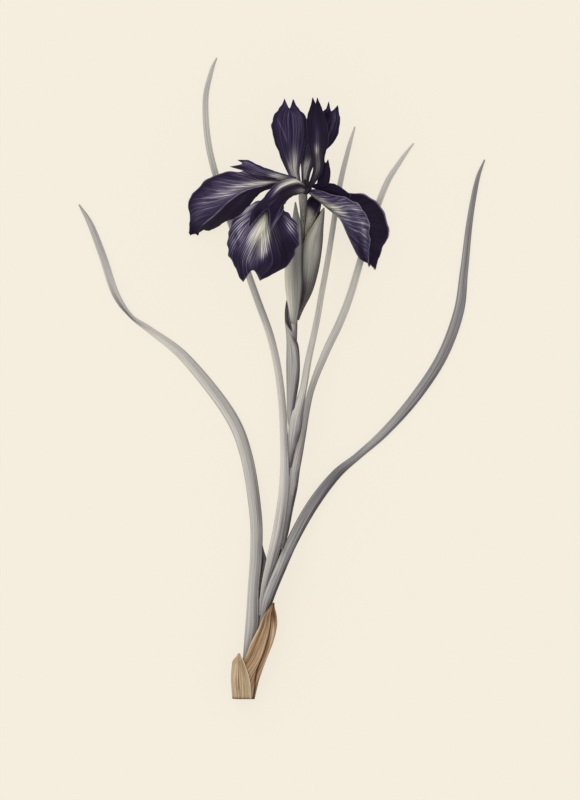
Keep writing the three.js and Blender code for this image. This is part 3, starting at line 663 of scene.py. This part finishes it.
drySheaths = {
    "basal_sheath_large": {
        "slot": "brown_sheath", "seed": 31.0, "seam": brownSeam,
        "stations": [
            (-22.4, -192.4, 6.4, 5.6, 4.8, -145, 150), (-20.2, -180, 6.6, 6.4, 5.2, -110, 150),
            (-16.7, -168.6, 8.8, 7.0, 7.2, -58, 145), (-12.8, -158, 9.2, 7.2, 7.2, -50, 130),
            (-9.6, -149, 10.4, 6.2, 8.0, -40, 100), (-7.8, -141.6, 11.8, 4.5, 8.0, -35, 75),
            (-5.0, -134.4, 12.4, 0.5, 7.0, -15, 25)],
        "tone": together(spots(0.52, [
            (0.55, 0.02, 0.25, 0.07, 0.45), (0.60, 0.62, 0.12, 0.08, 0.36), (0.86, 0.62, 0.12, 0.12, -0.42),
            (1.0, 0.5, 0.06, 0.6, -0.4), (0.10, 0.80, 0.3, 0.10, -0.38), (0.80, 0.30, 0.14, 0.06, -0.2),
            (0.30, 0.35, 0.25, 0.08, 0.14), (0.62, 0.15, 0.14, 0.05, -0.12), (0.0, 0.5, 0.012, 0.9, -0.3),
            (0.35, 0.60, 0.2, 0.05, 0.12)]),
            lambda u, v: -0.75 * bump(v, brownSeam(u), 0.022 + 0.02 * rise(u, 0.6, 1.0))),
        "look": {"colors": [paintColor(58, 38, 26), paintColor(112, 80, 54), paintColor(160, 126, 94),
                            paintColor(196, 166, 130), paintColor(224, 204, 176)],
                 "stain": paintColor(126, 86, 52), "rim": paintColor(226, 210, 184)}},
    "basal_sheath_small": {
        "slot": "tan_sheath", "seed": 33.0, "seam": lambda u: 0.665 + 0 * u,
        "stations": [
            (-23.4, -192.2, 7.0, 6.2, 7.0, -155, 48), (-24.2, -180.6, 7.8, 6.2, 8.2, -150, 48),
            (-25.0, -171, 7.8, 4.7, 7.6, -100, 30), (-25.3, -167.6, 8.6, 3.4, 7.2, -50, 20),
            (-25.6, -164.8, 9.4, 0.8, 6.4, -30, 14)],
        "tone": together(spots(0.62, [
            (0.0, 0.5, 0.02, 0.9, -0.45), (0.45, 0.55, 0.3, 0.06, 0.14), (0.55, 0.98, 0.5, 0.04, 0.25),
            (0.5, 0.80, 0.3, 0.06, -0.14), (0.95, 0.5, 0.15, 0.5, 0.12), (0.4, 0.35, 0.5, 0.06, 0.12)]),
            line(0.665, 0.014, -0.6, 0.08, 1.0)),
        "look": {"colors": [paintColor(84, 60, 42), paintColor(128, 98, 70), paintColor(166, 138, 106),
                            paintColor(202, 180, 148), paintColor(226, 210, 182)],
                 "stain": paintColor(160, 140, 104), "rim": paintColor(226, 212, 186)}},
}
dryForm = {
    "steps": (110, 100), "thickness": 0.5, "map": (58, 24),
    "wrinkle": 0.12, "wrinkleCount": 13, "crease": -0.5,
}
for sheathName, sheath in drySheaths.items():
    seam = sheath["seam"]

    def drySurface(u, v, sheath=sheath, seam=seam):
        points = claspSurface(sheath["stations"], u, v)
        turns = v[None, :] * 2 * math.pi * dryForm["wrinkleCount"]
        wrinkle = dryForm["wrinkle"] * np.cos(turns + 2 * np.sin(u[:, None] * 5))
        crease = dryForm["crease"] * bump(v[None, :], seam(u[:, None]), 0.03) * rise(u[:, None], 0.02, 0.2)
        return points + surfaceNormals(points) * (wrinkle + crease)[..., None] * -1

    piece = sheetPiece(sheathName + "_dry", drySurface, dryForm["steps"], dryForm["thickness"], {
        "tone": sheath["tone"], "rim": lambda u, v: rise(np.abs(v - 0.5), 0.47, 0.49) + 0 * u,
    }, dryForm["map"])
    look = {**leafLook, **sheath["look"], "seed": sheath["seed"], "ribs": 1.0, "fine": 0.9, "patches": 0.6,
            "stainStrength": 0.6, "rimStrength": 0.5, "ribCount": 1.0}
    finishPiece(piece, bladeFinish(sheathName + "Skin", look), [sheathName])
print("sheaths done")

# the second bud

budFinish = petalFinish("budSkin", {**violet, "seed": 40.0, "reach": 0.0, "veins": 8.0})
bud = rodPiece("second_bud_rolled", [
    (15.4, 84.0, 33.0, 1.9), (16.6, 92, 33.4, 3.0), (18.6, 100.4, 31.4, 4.4), (19.6, 106.6, 30.0, 4.4),
    (20.4, 111.0, 29.4, 1.6)], (60, 48), {
    # painted shade on the bud's right-hand side, and painted highlights in two thin spiral lines along its
    # furled petal edges
    "tone": lambda u, a: 0.07 + 0.8 * (1 - rise(u + 0.12 * np.cos(a), 0.35, 0.62)) * (0.62 - 0.38 * np.cos(a))
    + 0.45 * bump(a + 1.5 - 1.4 * u, 0, 0.10) * rise(u, 0.2, 0.4) + 0.25 * bump(a + 1.9 - 1.9 * u, 0, 0.06),
    "sage": lambda u, a: 1 - rise(u, 0.35, 0.6), "rim": lambda u, a: 0 * u}, ribs=3, ribDepth=0.08)
finishPiece(bud, budFinish, ["second_bud"])

throat = rodPiece("perianth_tube_throat", [
    (12.8, 110.4, 35.4, 1.8), (13.2, 112.8, 35.6, 4.0), (13.8, 115.8, 35.6, 4.4), (13.8, 119.4, 36.0, 1.6)],
    (24, 36), {
    # darker on the right-hand side as painted shade; the six bands follow the ribs
    "tone": lambda u, a: 0.14 + 0.10 * np.cos(a * 6) - 0.1 * np.cos(a) + 0 * u,
        "sage": lambda u, a: 0.6 + 0 * u,
    "rim": lambda u, a: 0 * u}, ribs=6, ribDepth=0.06)
finishPiece(throat, budFinish, ["perianth_tube"])

# the open flower

petals = {
    "fall_left": {
        "fold": 0.9, "ruffle": 0.9, "waves": 4.5,
        "look": {"seed": 51.0, "reach": 0.45, "bend": 0.6, "veins": 24.0, "vein": 0.42, "rimStrength": 0.35},
        # painted shade: the half beyond the midrib fold, hanging lower, is kept near black
        "tone": halves(together(spots(0.17, [
            (0.24, 0.38, 0.10, 0.09, 0.58), (0.40, 0.36, 0.16, 0.11, 0.36), (0.56, 0.27, 0.22, 0.17, 0.30),
            (0.35, 0.03, 0.08, 0.08, 0.34), (0.28, 0.15, 0.08, 0.06, 0.14), (0.90, 0.35, 0.10, 0.25, -0.12),
            (0.62, 0.0, 0.2, 0.06, -0.12)]), line(0.487, 0.008, 0.4, 0.2, 0.85)),
            spots(0.07, [(0.42, 0.66, 0.14, 0.12, 0.14)])),
        "sage": halves(spots(0, [(0.27, 0.38, 0.12, 0.09, 0.75), (0.08, 0.40, 0.10, 0.25, 0.8)]),
            spots(0, [])),
        "rows": [
            [(8.6, 117.4, 35.6), (8.4, 115.6, 36.6), (8.6, 113.8, 35.4)],
            [(-2, 120.2, 35), (-2, 117.4, 37.4), (-2, 115.0, 34.6)],
            [(-12, 123, 33), (-11, 115.6, 36.6), (-12.4, 112, 32)],
            [(-24, 125, 26), (-22, 112.6, 33), (-20.6, 102.8, 22)],
            [(-37, 123.2, 16), (-31.6, 106.2, 26), (-30.6, 95.4, 11)],
            [(-48, 118, 8), (-39.6, 98.6, 18), (-41, 91, 4)],
            [(-55.2, 107.4, 3), (-47.4, 92.2, 11), (-47.6, 88.8, 1.4)],
            [(-55.9, 93, 2.4), (-51.6, 88.6, 5.4), (-51.0, 87.6, 1.6)],
            [(-55.2, 86.4, 2.2), (-53.6, 87.2, 2.6), (-53.0, 87.0, 1.8)]]},
    "fall_front": {
        "fold": 0.0, "ruffle": 0.9, "waves": 5.0,
        "look": {"seed": 54.0, "reach": 0.75, "bend": 0.62, "veins": 24.0, "vein": 0.7, "streak": 1.7},
        "tone": spots(0.19, [
            (0.50, 0.50, 0.08, 0.05, 0.75), (0.58, 0.45, 0.10, 0.07, 0.60), (0.68, 0.57, 0.12, 0.06, 0.66),
            (0.66, 0.38, 0.12, 0.07, 0.48), (0.78, 0.60, 0.06, 0.06, 0.30), (0.62, 0.18, 0.16, 0.13, 0.36),
            (0.45, 0.05, 0.08, 0.08, 0.45), (0.85, 0.42, 0.12, 0.14, 0.24), (0.55, 0.90, 0.08, 0.07, 0.36),
            (0.64, 0.12, 0.03, 0.03, -0.22), (0.70, 0.17, 0.03, 0.03, -0.2),
            (0.82, 0.88, 0.16, 0.12, -0.14)]),
        "sage": spots(0, [(0.52, 0.50, 0.12, 0.10, 0.9), (0.66, 0.52, 0.12, 0.14, 0.8),
            (0.05, 0.5, 0.15, 0.5, 0.9)]),
        "rows": [
            [(9.4, 115.8, 36.8), (10.6, 114.2, 38.0), (12.0, 112.8, 37.0)],
            [(1, 114, 50), (3, 111.4, 51.2), (5.2, 108.8, 50)],
            [(-8, 108, 60.4), (-5, 105.4, 62.4), (-1, 103, 60.4)],
            [(-20.4, 103, 62.6), (-9.4, 99, 67.4), (3.6, 99.6, 62.8)],
            [(-30.4, 92, 62), (-11.6, 90, 69.6), (9.6, 90, 62)],
            [(-32.6, 80.4, 60), (-14, 79.6, 69.2), (9.4, 80, 60)],
            [(-29.8, 69.6, 57.6), (-16, 71, 66.4), (4.4, 69.6, 58)],
            [(-23.1, 58.2, 55.4), (-17.4, 65.1, 61.6), (-12.9, 58.2, 56)]]},
    "fall_right": {
        "fold": 0.9, "ruffle": 0.8, "waves": 4.0,
        "look": {"seed": 57.0, "reach": 0.30, "bend": 0.6, "veins": 22.0, "vein": 0.45, "rimStrength": 0.7},
        # painted shade: the half beyond the midrib fold, hanging lower, is kept near black
        "tone": halves(together(spots(0.36, [
            (0.12, 0.42, 0.12, 0.12, 0.14), (0.30, 0.33, 0.10, 0.12, 0.30), (0.42, 0.34, 0.12, 0.12, 0.20),
            (0.55, 0.12, 0.20, 0.12, 0.20), (0.80, 0.30, 0.12, 0.12, -0.18),
            (0.92, 0.40, 0.08, 0.25, -0.18), (0.30, 0.0, 0.10, 0.05, -0.15)]),
            line(0.487, 0.008, 0.3, 0.3, 0.88)),
            spots(0.06, [(0.60, 0.80, 0.2, 0.1, 0.05)])),
        "sage": halves(spots(0, [(0.15, 0.44, 0.15, 0.12, 0.8), (0.32, 0.38, 0.10, 0.10, 0.7)]), spots(0,
            [])),
        "rows": [
            [(15.8, 113.8, 37.4), (14.6, 112.4, 36.2), (15.6, 113.2, 34.2)],
            [(22, 113.2, 40), (20.4, 108, 36.4), (23, 113.4, 33.4)],
            [(32, 110, 38.4), (28, 101.6, 33), (33.4, 111.4, 27)],
            [(44, 106.2, 33.6), (34.8, 95.8, 27.4), (46, 111.6, 18)],
            [(51.2, 97, 27), (38.6, 88, 21.6), (58.6, 105, 9)],
            [(52.8, 84.8, 19.4), (42.6, 79.6, 15.8), (64, 91, 3)],
            [(52.2, 75.6, 13), (46.6, 72.6, 10.6), (60.4, 77.4, 1.6)],
            [(52.4, 67.2, 7.6), (53.4, 68.8, 6), (55.2, 65.8, 2.4)]]},
    "standard_left": {
        "fold": 0.2, "ruffle": 0.4, "waves": 3.0,
        "look": {"seed": 60.0, "reach": 0.0, "veins": 14.0, "vein": 0.3, "streak": 0.6},
        "tone": together(spots(0.27, [
            (0.06, 0.50, 0.10, 0.35, 0.50), (0.22, 0.66, 0.10, 0.18, 0.42), (0.20, 0.35, 0.06, 0.10, 0.28),
            (0.60, 0.75, 0.15, 0.12, 0.10), (0.50, 0.03, 0.3, 0.06, -0.14),
            (0.45, 0.98, 0.3, 0.05, -0.12)]),
            line(0.465, 0.014, 0.24, 0.1, 0.97), line(0.60, 0.012, 0.20, 0.1, 0.9),
            line(0.54, 0.012, -0.12, 0.1, 0.9),
            line(0.66, 0.010, 0.12, 0.3, 0.85), line(0.45, 0.02, 0.22, 0.36, 0.66, -1.1)),
        "sage": spots(0, [(0.10, 0.50, 0.14, 0.30, 0.8), (0.25, 0.66, 0.10, 0.15, 0.5)]),
        "rows": [
            [(6.4, 118, 38.4), (8.8, 117.6, 39.6), (11.4, 117.6, 38.4)],
            [(2.4, 125.6, 39), (6.4, 125.6, 41), (10.6, 125.8, 39.4)],
            [(-2.6, 137, 40), (5, 137, 43.4), (13, 138, 40)],
            [(-6.1, 149.6, 40), (4.6, 149.6, 44.2), (15.7, 148.4, 40)],
            [(-5.2, 157.4, 39), (4.4, 157, 43), (14, 157, 39.4)],
            [(-0.8, 163.2, 38.6), (4.5, 160.4, 41.4), (9.2, 163.2, 38.6)],
            [(1.4, 168.3, 38), (4.5, 162.2, 40.4), (6.5, 167.7, 38)]]},
    "standard_right": {
        "fold": 0.7, "ruffle": 0.3, "waves": 3.0,
        "look": {"seed": 63.0, "reach": 0.0, "veins": 10.0, "vein": 0.3},
        # painted shade: this standard stands in shade, so it is kept near the dark end all over, over its own
        # dark violet
        "tone": spots(0.07, [
            (0.40, 0.45, 0.06, 0.14, 0.40), (0.22, 0.50, 0.16, 0.30, 0.26), (0.53, 0.50, 0.10, 0.12, 0.26),
            (0.65, 0.36, 0.08, 0.05, 0.12)]),
        "sage": spots(0, [(0.20, 0.50, 0.20, 0.30, 0.9), (0.38, 0.45, 0.06, 0.15, 0.4)]),
        "rows": [
            [(15.0, 114.4, 40.6), (16.2, 114.2, 41.4), (17.8, 114.8, 40.6)],
            [(18.6, 125.4, 43.6), (21.0, 124.8, 45.2), (23.8, 123.6, 43.6)],
            [(17.4, 134, 44), (21, 134, 47.6), (25.8, 133.6, 43.6)],
            [(15.2, 144, 44), (21.2, 144, 49.0), (27.6, 144, 43)],
            [(15, 156, 43), (21, 155.4, 47.4), (26.4, 155, 42.4)],
            [(16.9, 163.6, 42.4), (20.1, 162.6, 45.0), (23.0, 163.8, 42.2)],
            [(18.6, 168.8, 42), (20.1, 165, 43.6), (21.2, 168.8, 42)]]},
    "standard_back": {
        "fold": 0.2, "ruffle": 0.3, "waves": 3.0,
        "look": {"seed": 66.0, "reach": 0.0, "veins": 14.0, "vein": 0.4},
        "tone": spots(0.24, [
            (0.20, 0.45, 0.12, 0.28, 1.0), (0.05, 0.40, 0.08, 0.20, 0.30), (0.42, 0.25, 0.07, 0.14, 0.2),
            (0.75, 0.80, 0.20, 0.12, 0.16), (0.85, 0.60, 0.10, 0.10, 0.12),
            (0.75, 0.30, 0.15, 0.20, -0.1)]),
        "sage": spots(0, [(0.20, 0.45, 0.12, 0.26, 0.9)]),
        "rows": [
            [(12.0, 115.0, 31.8), (13.8, 114.6, 31.4), (15.6, 115.0, 31.8)],
            [(11.6, 124.4, 30.4), (14.4, 124.4, 29.2), (17.4, 124.4, 30.4)],
            [(11.4, 133, 29.6), (16.6, 133, 26.8), (22, 132.4, 29.6)],
            [(12.4, 144, 29.6), (21.4, 144, 25.4), (32, 143.6, 29.6)],
            [(17, 156, 29.6), (26, 155.4, 25.4), (35, 154.4, 29.6)],
            [(25.8, 161.6, 29.5), (29.0, 158.6, 27.0), (34.0, 160.4, 29.5)],
            [(28.2, 166.4, 29.6), (29.6, 160.8, 27.4), (33.7, 164.4, 29.6)]]},
    "style_arm_left": {
        "fold": 0.0, "ruffle": 0.2, "waves": 2.0,
        "look": {"seed": 69.0, "reach": 0.0, "veins": 9.0, "vein": 0.3}, "slot": "style_arm",
        "tone": spots(0.42, [
            (0.20, 0.55, 0.10, 0.30, 0.45), (0.30, 0.75, 0.06, 0.12, 0.3), (0.50, 0.40, 0.15, 0.15, 0.12),
            (0.85, 0.80, 0.15, 0.20, -0.2), (0.95, 0.10, 0.10, 0.15, -0.2),
            (0.45, 0.05, 0.30, 0.10, -0.2)]),
        "sage": spots(0, [(0.22, 0.65, 0.12, 0.25, 0.85)]),
        "rows": [
            [(8.6, 121.0, 40.6), (8.4, 119.6, 41.2), (8.4, 118.0, 40.6)],
            [(-4.2, 124.4, 41.6), (-4.2, 122.4, 43), (-4.2, 120.4, 41.6)],
            [(-14, 128.2, 40.4), (-13.6, 125.2, 42.8), (-13.2, 122.2, 41)],
            [(-20.4, 131, 37.6), (-20, 127.8, 40.6), (-22, 124.4, 38)],
            [(-26.6, 131.4, 36), (-24, 129, 38), (-31.2, 127.4, 34)]]},
    "style_arm_front": {
        "fold": 0.0, "ruffle": 0.25, "waves": 2.0,
        "look": {"seed": 72.0, "reach": 0.0, "veins": 12.0, "vein": 0.4, "streak": 1.3, "rimStrength": 0.5},
        "slot": "style_arm",
        "tone": together(spots(0.10, [
            (0.18, 0.18, 0.20, 0.20, 0.78), (0.38, 0.24, 0.12, 0.13, 0.50), (0.50, 0.32, 0.10, 0.07, 0.3),
            (0.66, 0.55, 0.20, 0.05, 0.20), (0.80, 0.90, 0.15, 0.04, 0.14), (0.12, 0.82, 0.16, 0.18, 0.34),
            (0.60, 0.10, 0.20, 0.06, 0.12), (0.92, 0.97, 0.10, 0.05, 0.3)]),
            line(0.52, 0.04, -0.35, 0.02, 0.5)),
        "sage": spots(0, [(0.18, 0.2, 0.22, 0.26, 0.95), (0.12, 0.82, 0.18, 0.22, 0.9)]),
        "rows": [
            [(12.4, 117.6, 40.6), (13.6, 115.2, 41.8), (13.8, 111.8, 40.4)],
            [(6.6, 120.2, 46.6), (9.2, 116.0, 49.4), (10.6, 110.8, 46.0)],
            [(-3, 117.2, 58), (1, 112.6, 61.4), (5.4, 108.8, 57.4)],
            [(-10.6, 108.8, 67.6), (-5.4, 106.6, 71), (1.6, 104.4, 67.4)],
            [(-18.2, 100.2, 70.6), (-8.6, 104, 74), (0.2, 99.6, 70.4)],
            [(-20.1, 89.7, 71), (-8.6, 101.6, 74), (-7.2, 87.6, 71.6)]]},
    "style_arm_right": {
        "fold": 0.0, "ruffle": 0.15, "waves": 2.0,
        "look": {"seed": 75.0, "reach": 0.0, "veins": 8.0}, "slot": "style_arm",
        "tone": spots(0.08, [(0.3, 0.1, 0.3, 0.1, 0.12)]),
        "sage": spots(0, []),
        "rows": [
            [(15.4, 116.4, 38.4), (16.4, 115.6, 38.4), (17.2, 115, 38.2)],
            [(22, 117.2, 37), (22.6, 114.9, 37.2), (23.2, 112.8, 36.6)],
            [(32, 116.8, 36), (32, 113, 36.2), (32, 109.4, 34.8)],
            [(41.4, 110.4, 33.2), (40.6, 108.8, 33), (39.6, 107.4, 32)]]},
    "style_crest_right": {
        "fold": 0.0, "ruffle": 0.1, "waves": 2.0,
        "look": {"seed": 78.0, "reach": 0.0, "veins": 8.0}, "slot": "style_arm", "node": "style_arm_right",
        "tone": spots(0.09, [(0.75, 0.04, 0.2, 0.07, 0.55), (0.6, 0.5, 0.2, 0.1, 0.05)]),
        "sage": spots(0, []),
        "rows": [
            [(20.6, 115.6, 37.6), (24.2, 115.2, 38), (27.8, 115.6, 37.2)],
            [(21.8, 121, 39.4), (25.4, 121, 41), (28.8, 120.6, 39.4)],
            [(24, 127, 40.4), (26.4, 126.6, 41.8), (28.8, 125.6, 40.2)],
            [(25.2, 131.2, 40.8), (26.2, 129.6, 41.6), (27.6, 131.7, 40.8)]]},
}
petalForm = {"steps": (130, 100), "thickness": 0.35, "pleat": 0.10}


def petalRim(u, v):
    return np.maximum(rise(np.abs(v - 0.5), 0.478, 0.492), rise(u, 0.985, 0.995)) * rise(u, 0.1, 0.25)


for petalName, petal in petals.items():
    look = {**violet, **petal["look"]}

    def petalSurface(u, v, petal=petal, look=look):
        points = webSurface(petal["rows"], u, v, petal["fold"])
        normal = surfaceNormals(points)
        side = unit(np.gradient(points, axis=1))
        seed = look["seed"]
        uu, out = u[:, None], 2 * v[None, :] - 1
        edge = np.abs(out)
        swell = rise(uu, 0.12, 0.4)
        turns = 2 * math.pi * petal["waves"] * uu
        wave = np.sin(turns + seed + 1.3 * np.sign(out)) * edge ** 3
        wave += 0.4 * np.sin(turns * 2.3 + 2 * seed) * edge ** 5
        flow = v[None, :] + 0 * uu
        if look["reach"]:
            flow = uu - (edge + 0.004) ** look["bend"] * look["reach"]
        pleat = petalForm["pleat"] * np.sin(2 * math.pi * flow * look["veins"]) * rise(edge, 0.05, 0.3)
        scallop = (0.5 * np.sin(uu * 43 + seed) + 0.35 * np.sin(uu * 71 + 2 * seed)) * edge ** 8
        scallop = scallop * np.sign(out) * swell * (1 - rise(uu, 0.72, 0.92))
        scallop = scallop * min(1, petal["ruffle"]) * 0.9
        points = points + normal * (petal["ruffle"] * wave * swell + pleat * swell)[..., None]
        return points + side * scallop[..., None]

    piece = sheetPiece(petalName + "_petal", petalSurface, petalForm["steps"], petalForm["thickness"], {
        "tone": petal["tone"], "sage": petal["sage"], "rim": petalRim})
    finish = petalFinish(petalName + "Skin", look)
    finishPiece(piece, finish, [petal.get("node", petalName)])
print("flower done")

# the stamens

stamens = {
    "front": {"filament": [(9.4, 115.6, 40.8, 0.6), (6, 114.4, 48.6, 0.6), (2.6, 112, 55, 0.6)],
              "anther": [(1.8, 111.4, 56, 0.4), (-1.4, 108.8, 62, 0.9), (-4.6, 105.8, 66.2, 0.4)]},
    "left": {"filament": [(7.6, 117.8, 38.8, 0.6), (2, 119.2, 39.6, 0.6), (-3.4, 120.4, 39.8, 0.6)],
             "anther": [(-4.4, 120.8, 39.8, 0.4), (-9, 122.2, 39.4, 0.9), (-13, 123.4, 38.6, 0.4)]},
    "right": {"filament": [(18.2, 113.2, 36.2, 0.6), (21, 113.4, 35.6, 0.6), (24, 113, 34.8, 0.6)],
              "anther": [(24.8, 112.8, 34.6, 0.4), (29, 111, 33, 0.8), (33, 109.4, 31.2, 0.4)]},
}
antherFinish = bladeFinish("pollenSkin", {**leafLook, "seed": 81.0, "colors": [
    paintColor(120, 92, 40), paintColor(180, 146, 70), paintColor(222, 192, 118)]})
stamenParts = {
    "filament": {"finish": paleFinish, "slot": "pale", "ribs": 0, "ribDepth": 0},
    "anther": {"finish": antherFinish, "slot": "anther", "ribs": 2, "ribDepth": 0.25},
}
for sideName, stamen in stamens.items():
    for partName, part in stamenParts.items():
        made = rodPiece(partName + "_" + sideName + "_fine", stamen[partName], (30, 16), {
            "tone": lambda u, a: 0.6 + 0 * u, "rim": lambda u, a: u * 0}, part["ribs"], part["ribDepth"])
        finishPiece(made, part["finish"], [partName + "_" + sideName])
print("stamens done")

# floor, light and camera

studio = {
    "floorColor": paintColor(246, 239, 224), "floorSize": 10, "floorGlow": 0.85, "worldStrength": 0.84,
    "keyPower": 16, "keySize": 2.6, "keyPlace": (-1.6, 1.7, 2.0),
    "cameraHeight": 12.0, "viewHeight": 0.480, "aim": (4.8, -12.6), "focus": 0.03,
}
bpy.ops.object.select_all(action="DESELECT")
bpy.ops.mesh.primitive_plane_add(size=studio["floorSize"], location=(0, 0, -0.0002))
floor = bpy.context.object
floor.name = "studio_floor"
floorFinish = Finish("floorPaper", roughness=0.9, specular=0.0)
shaded = 1 - studio["floorGlow"]
floorFinish.shader.inputs["Base Color"].default_value = [c * shaded for c in studio["floorColor"][:3]] + [1]
floorFinish.shader.inputs["Emission Color"].default_value = studio["floorColor"]
floorFinish.shader.inputs["Emission Strength"].default_value = studio["floorGlow"]
floor.data.materials.append(floorFinish.material)
bpy.ops.object.transform_apply(location=True)

world = bpy.data.worlds.new("studioLight")
bpy.context.scene.world = world
world.use_nodes = True
world.node_tree.nodes["Background"].inputs[0].default_value = (1.0, 1.0, 1.0, 1)
world.node_tree.nodes["Background"].inputs[1].default_value = studio["worldStrength"]

bpy.ops.object.light_add(type="AREA", location=studio["keyPlace"])
key = bpy.context.object
key.name = "key_light"
key.data.shape = "DISK"
key.data.size = studio["keySize"]
key.data.energy = studio["keyPower"]
key.visible_camera = False
key.rotation_euler = (-key.location).to_track_quat("-Z", "Y").to_euler()

aimX, aimY = [(a + s) * mm for a, s in zip(studio["aim"], toFrame)]
bpy.ops.object.camera_add(location=(aimX, aimY, studio["cameraHeight"]))
camera = bpy.context.object
camera.data.clip_end = 100
subjectDistance = studio["cameraHeight"] - studio["focus"]
camera.data.lens = camera.data.sensor_width * subjectDistance / studio["viewHeight"]
bpy.context.scene.camera = camera
bpy.context.scene.view_settings.view_transform = "Standard"
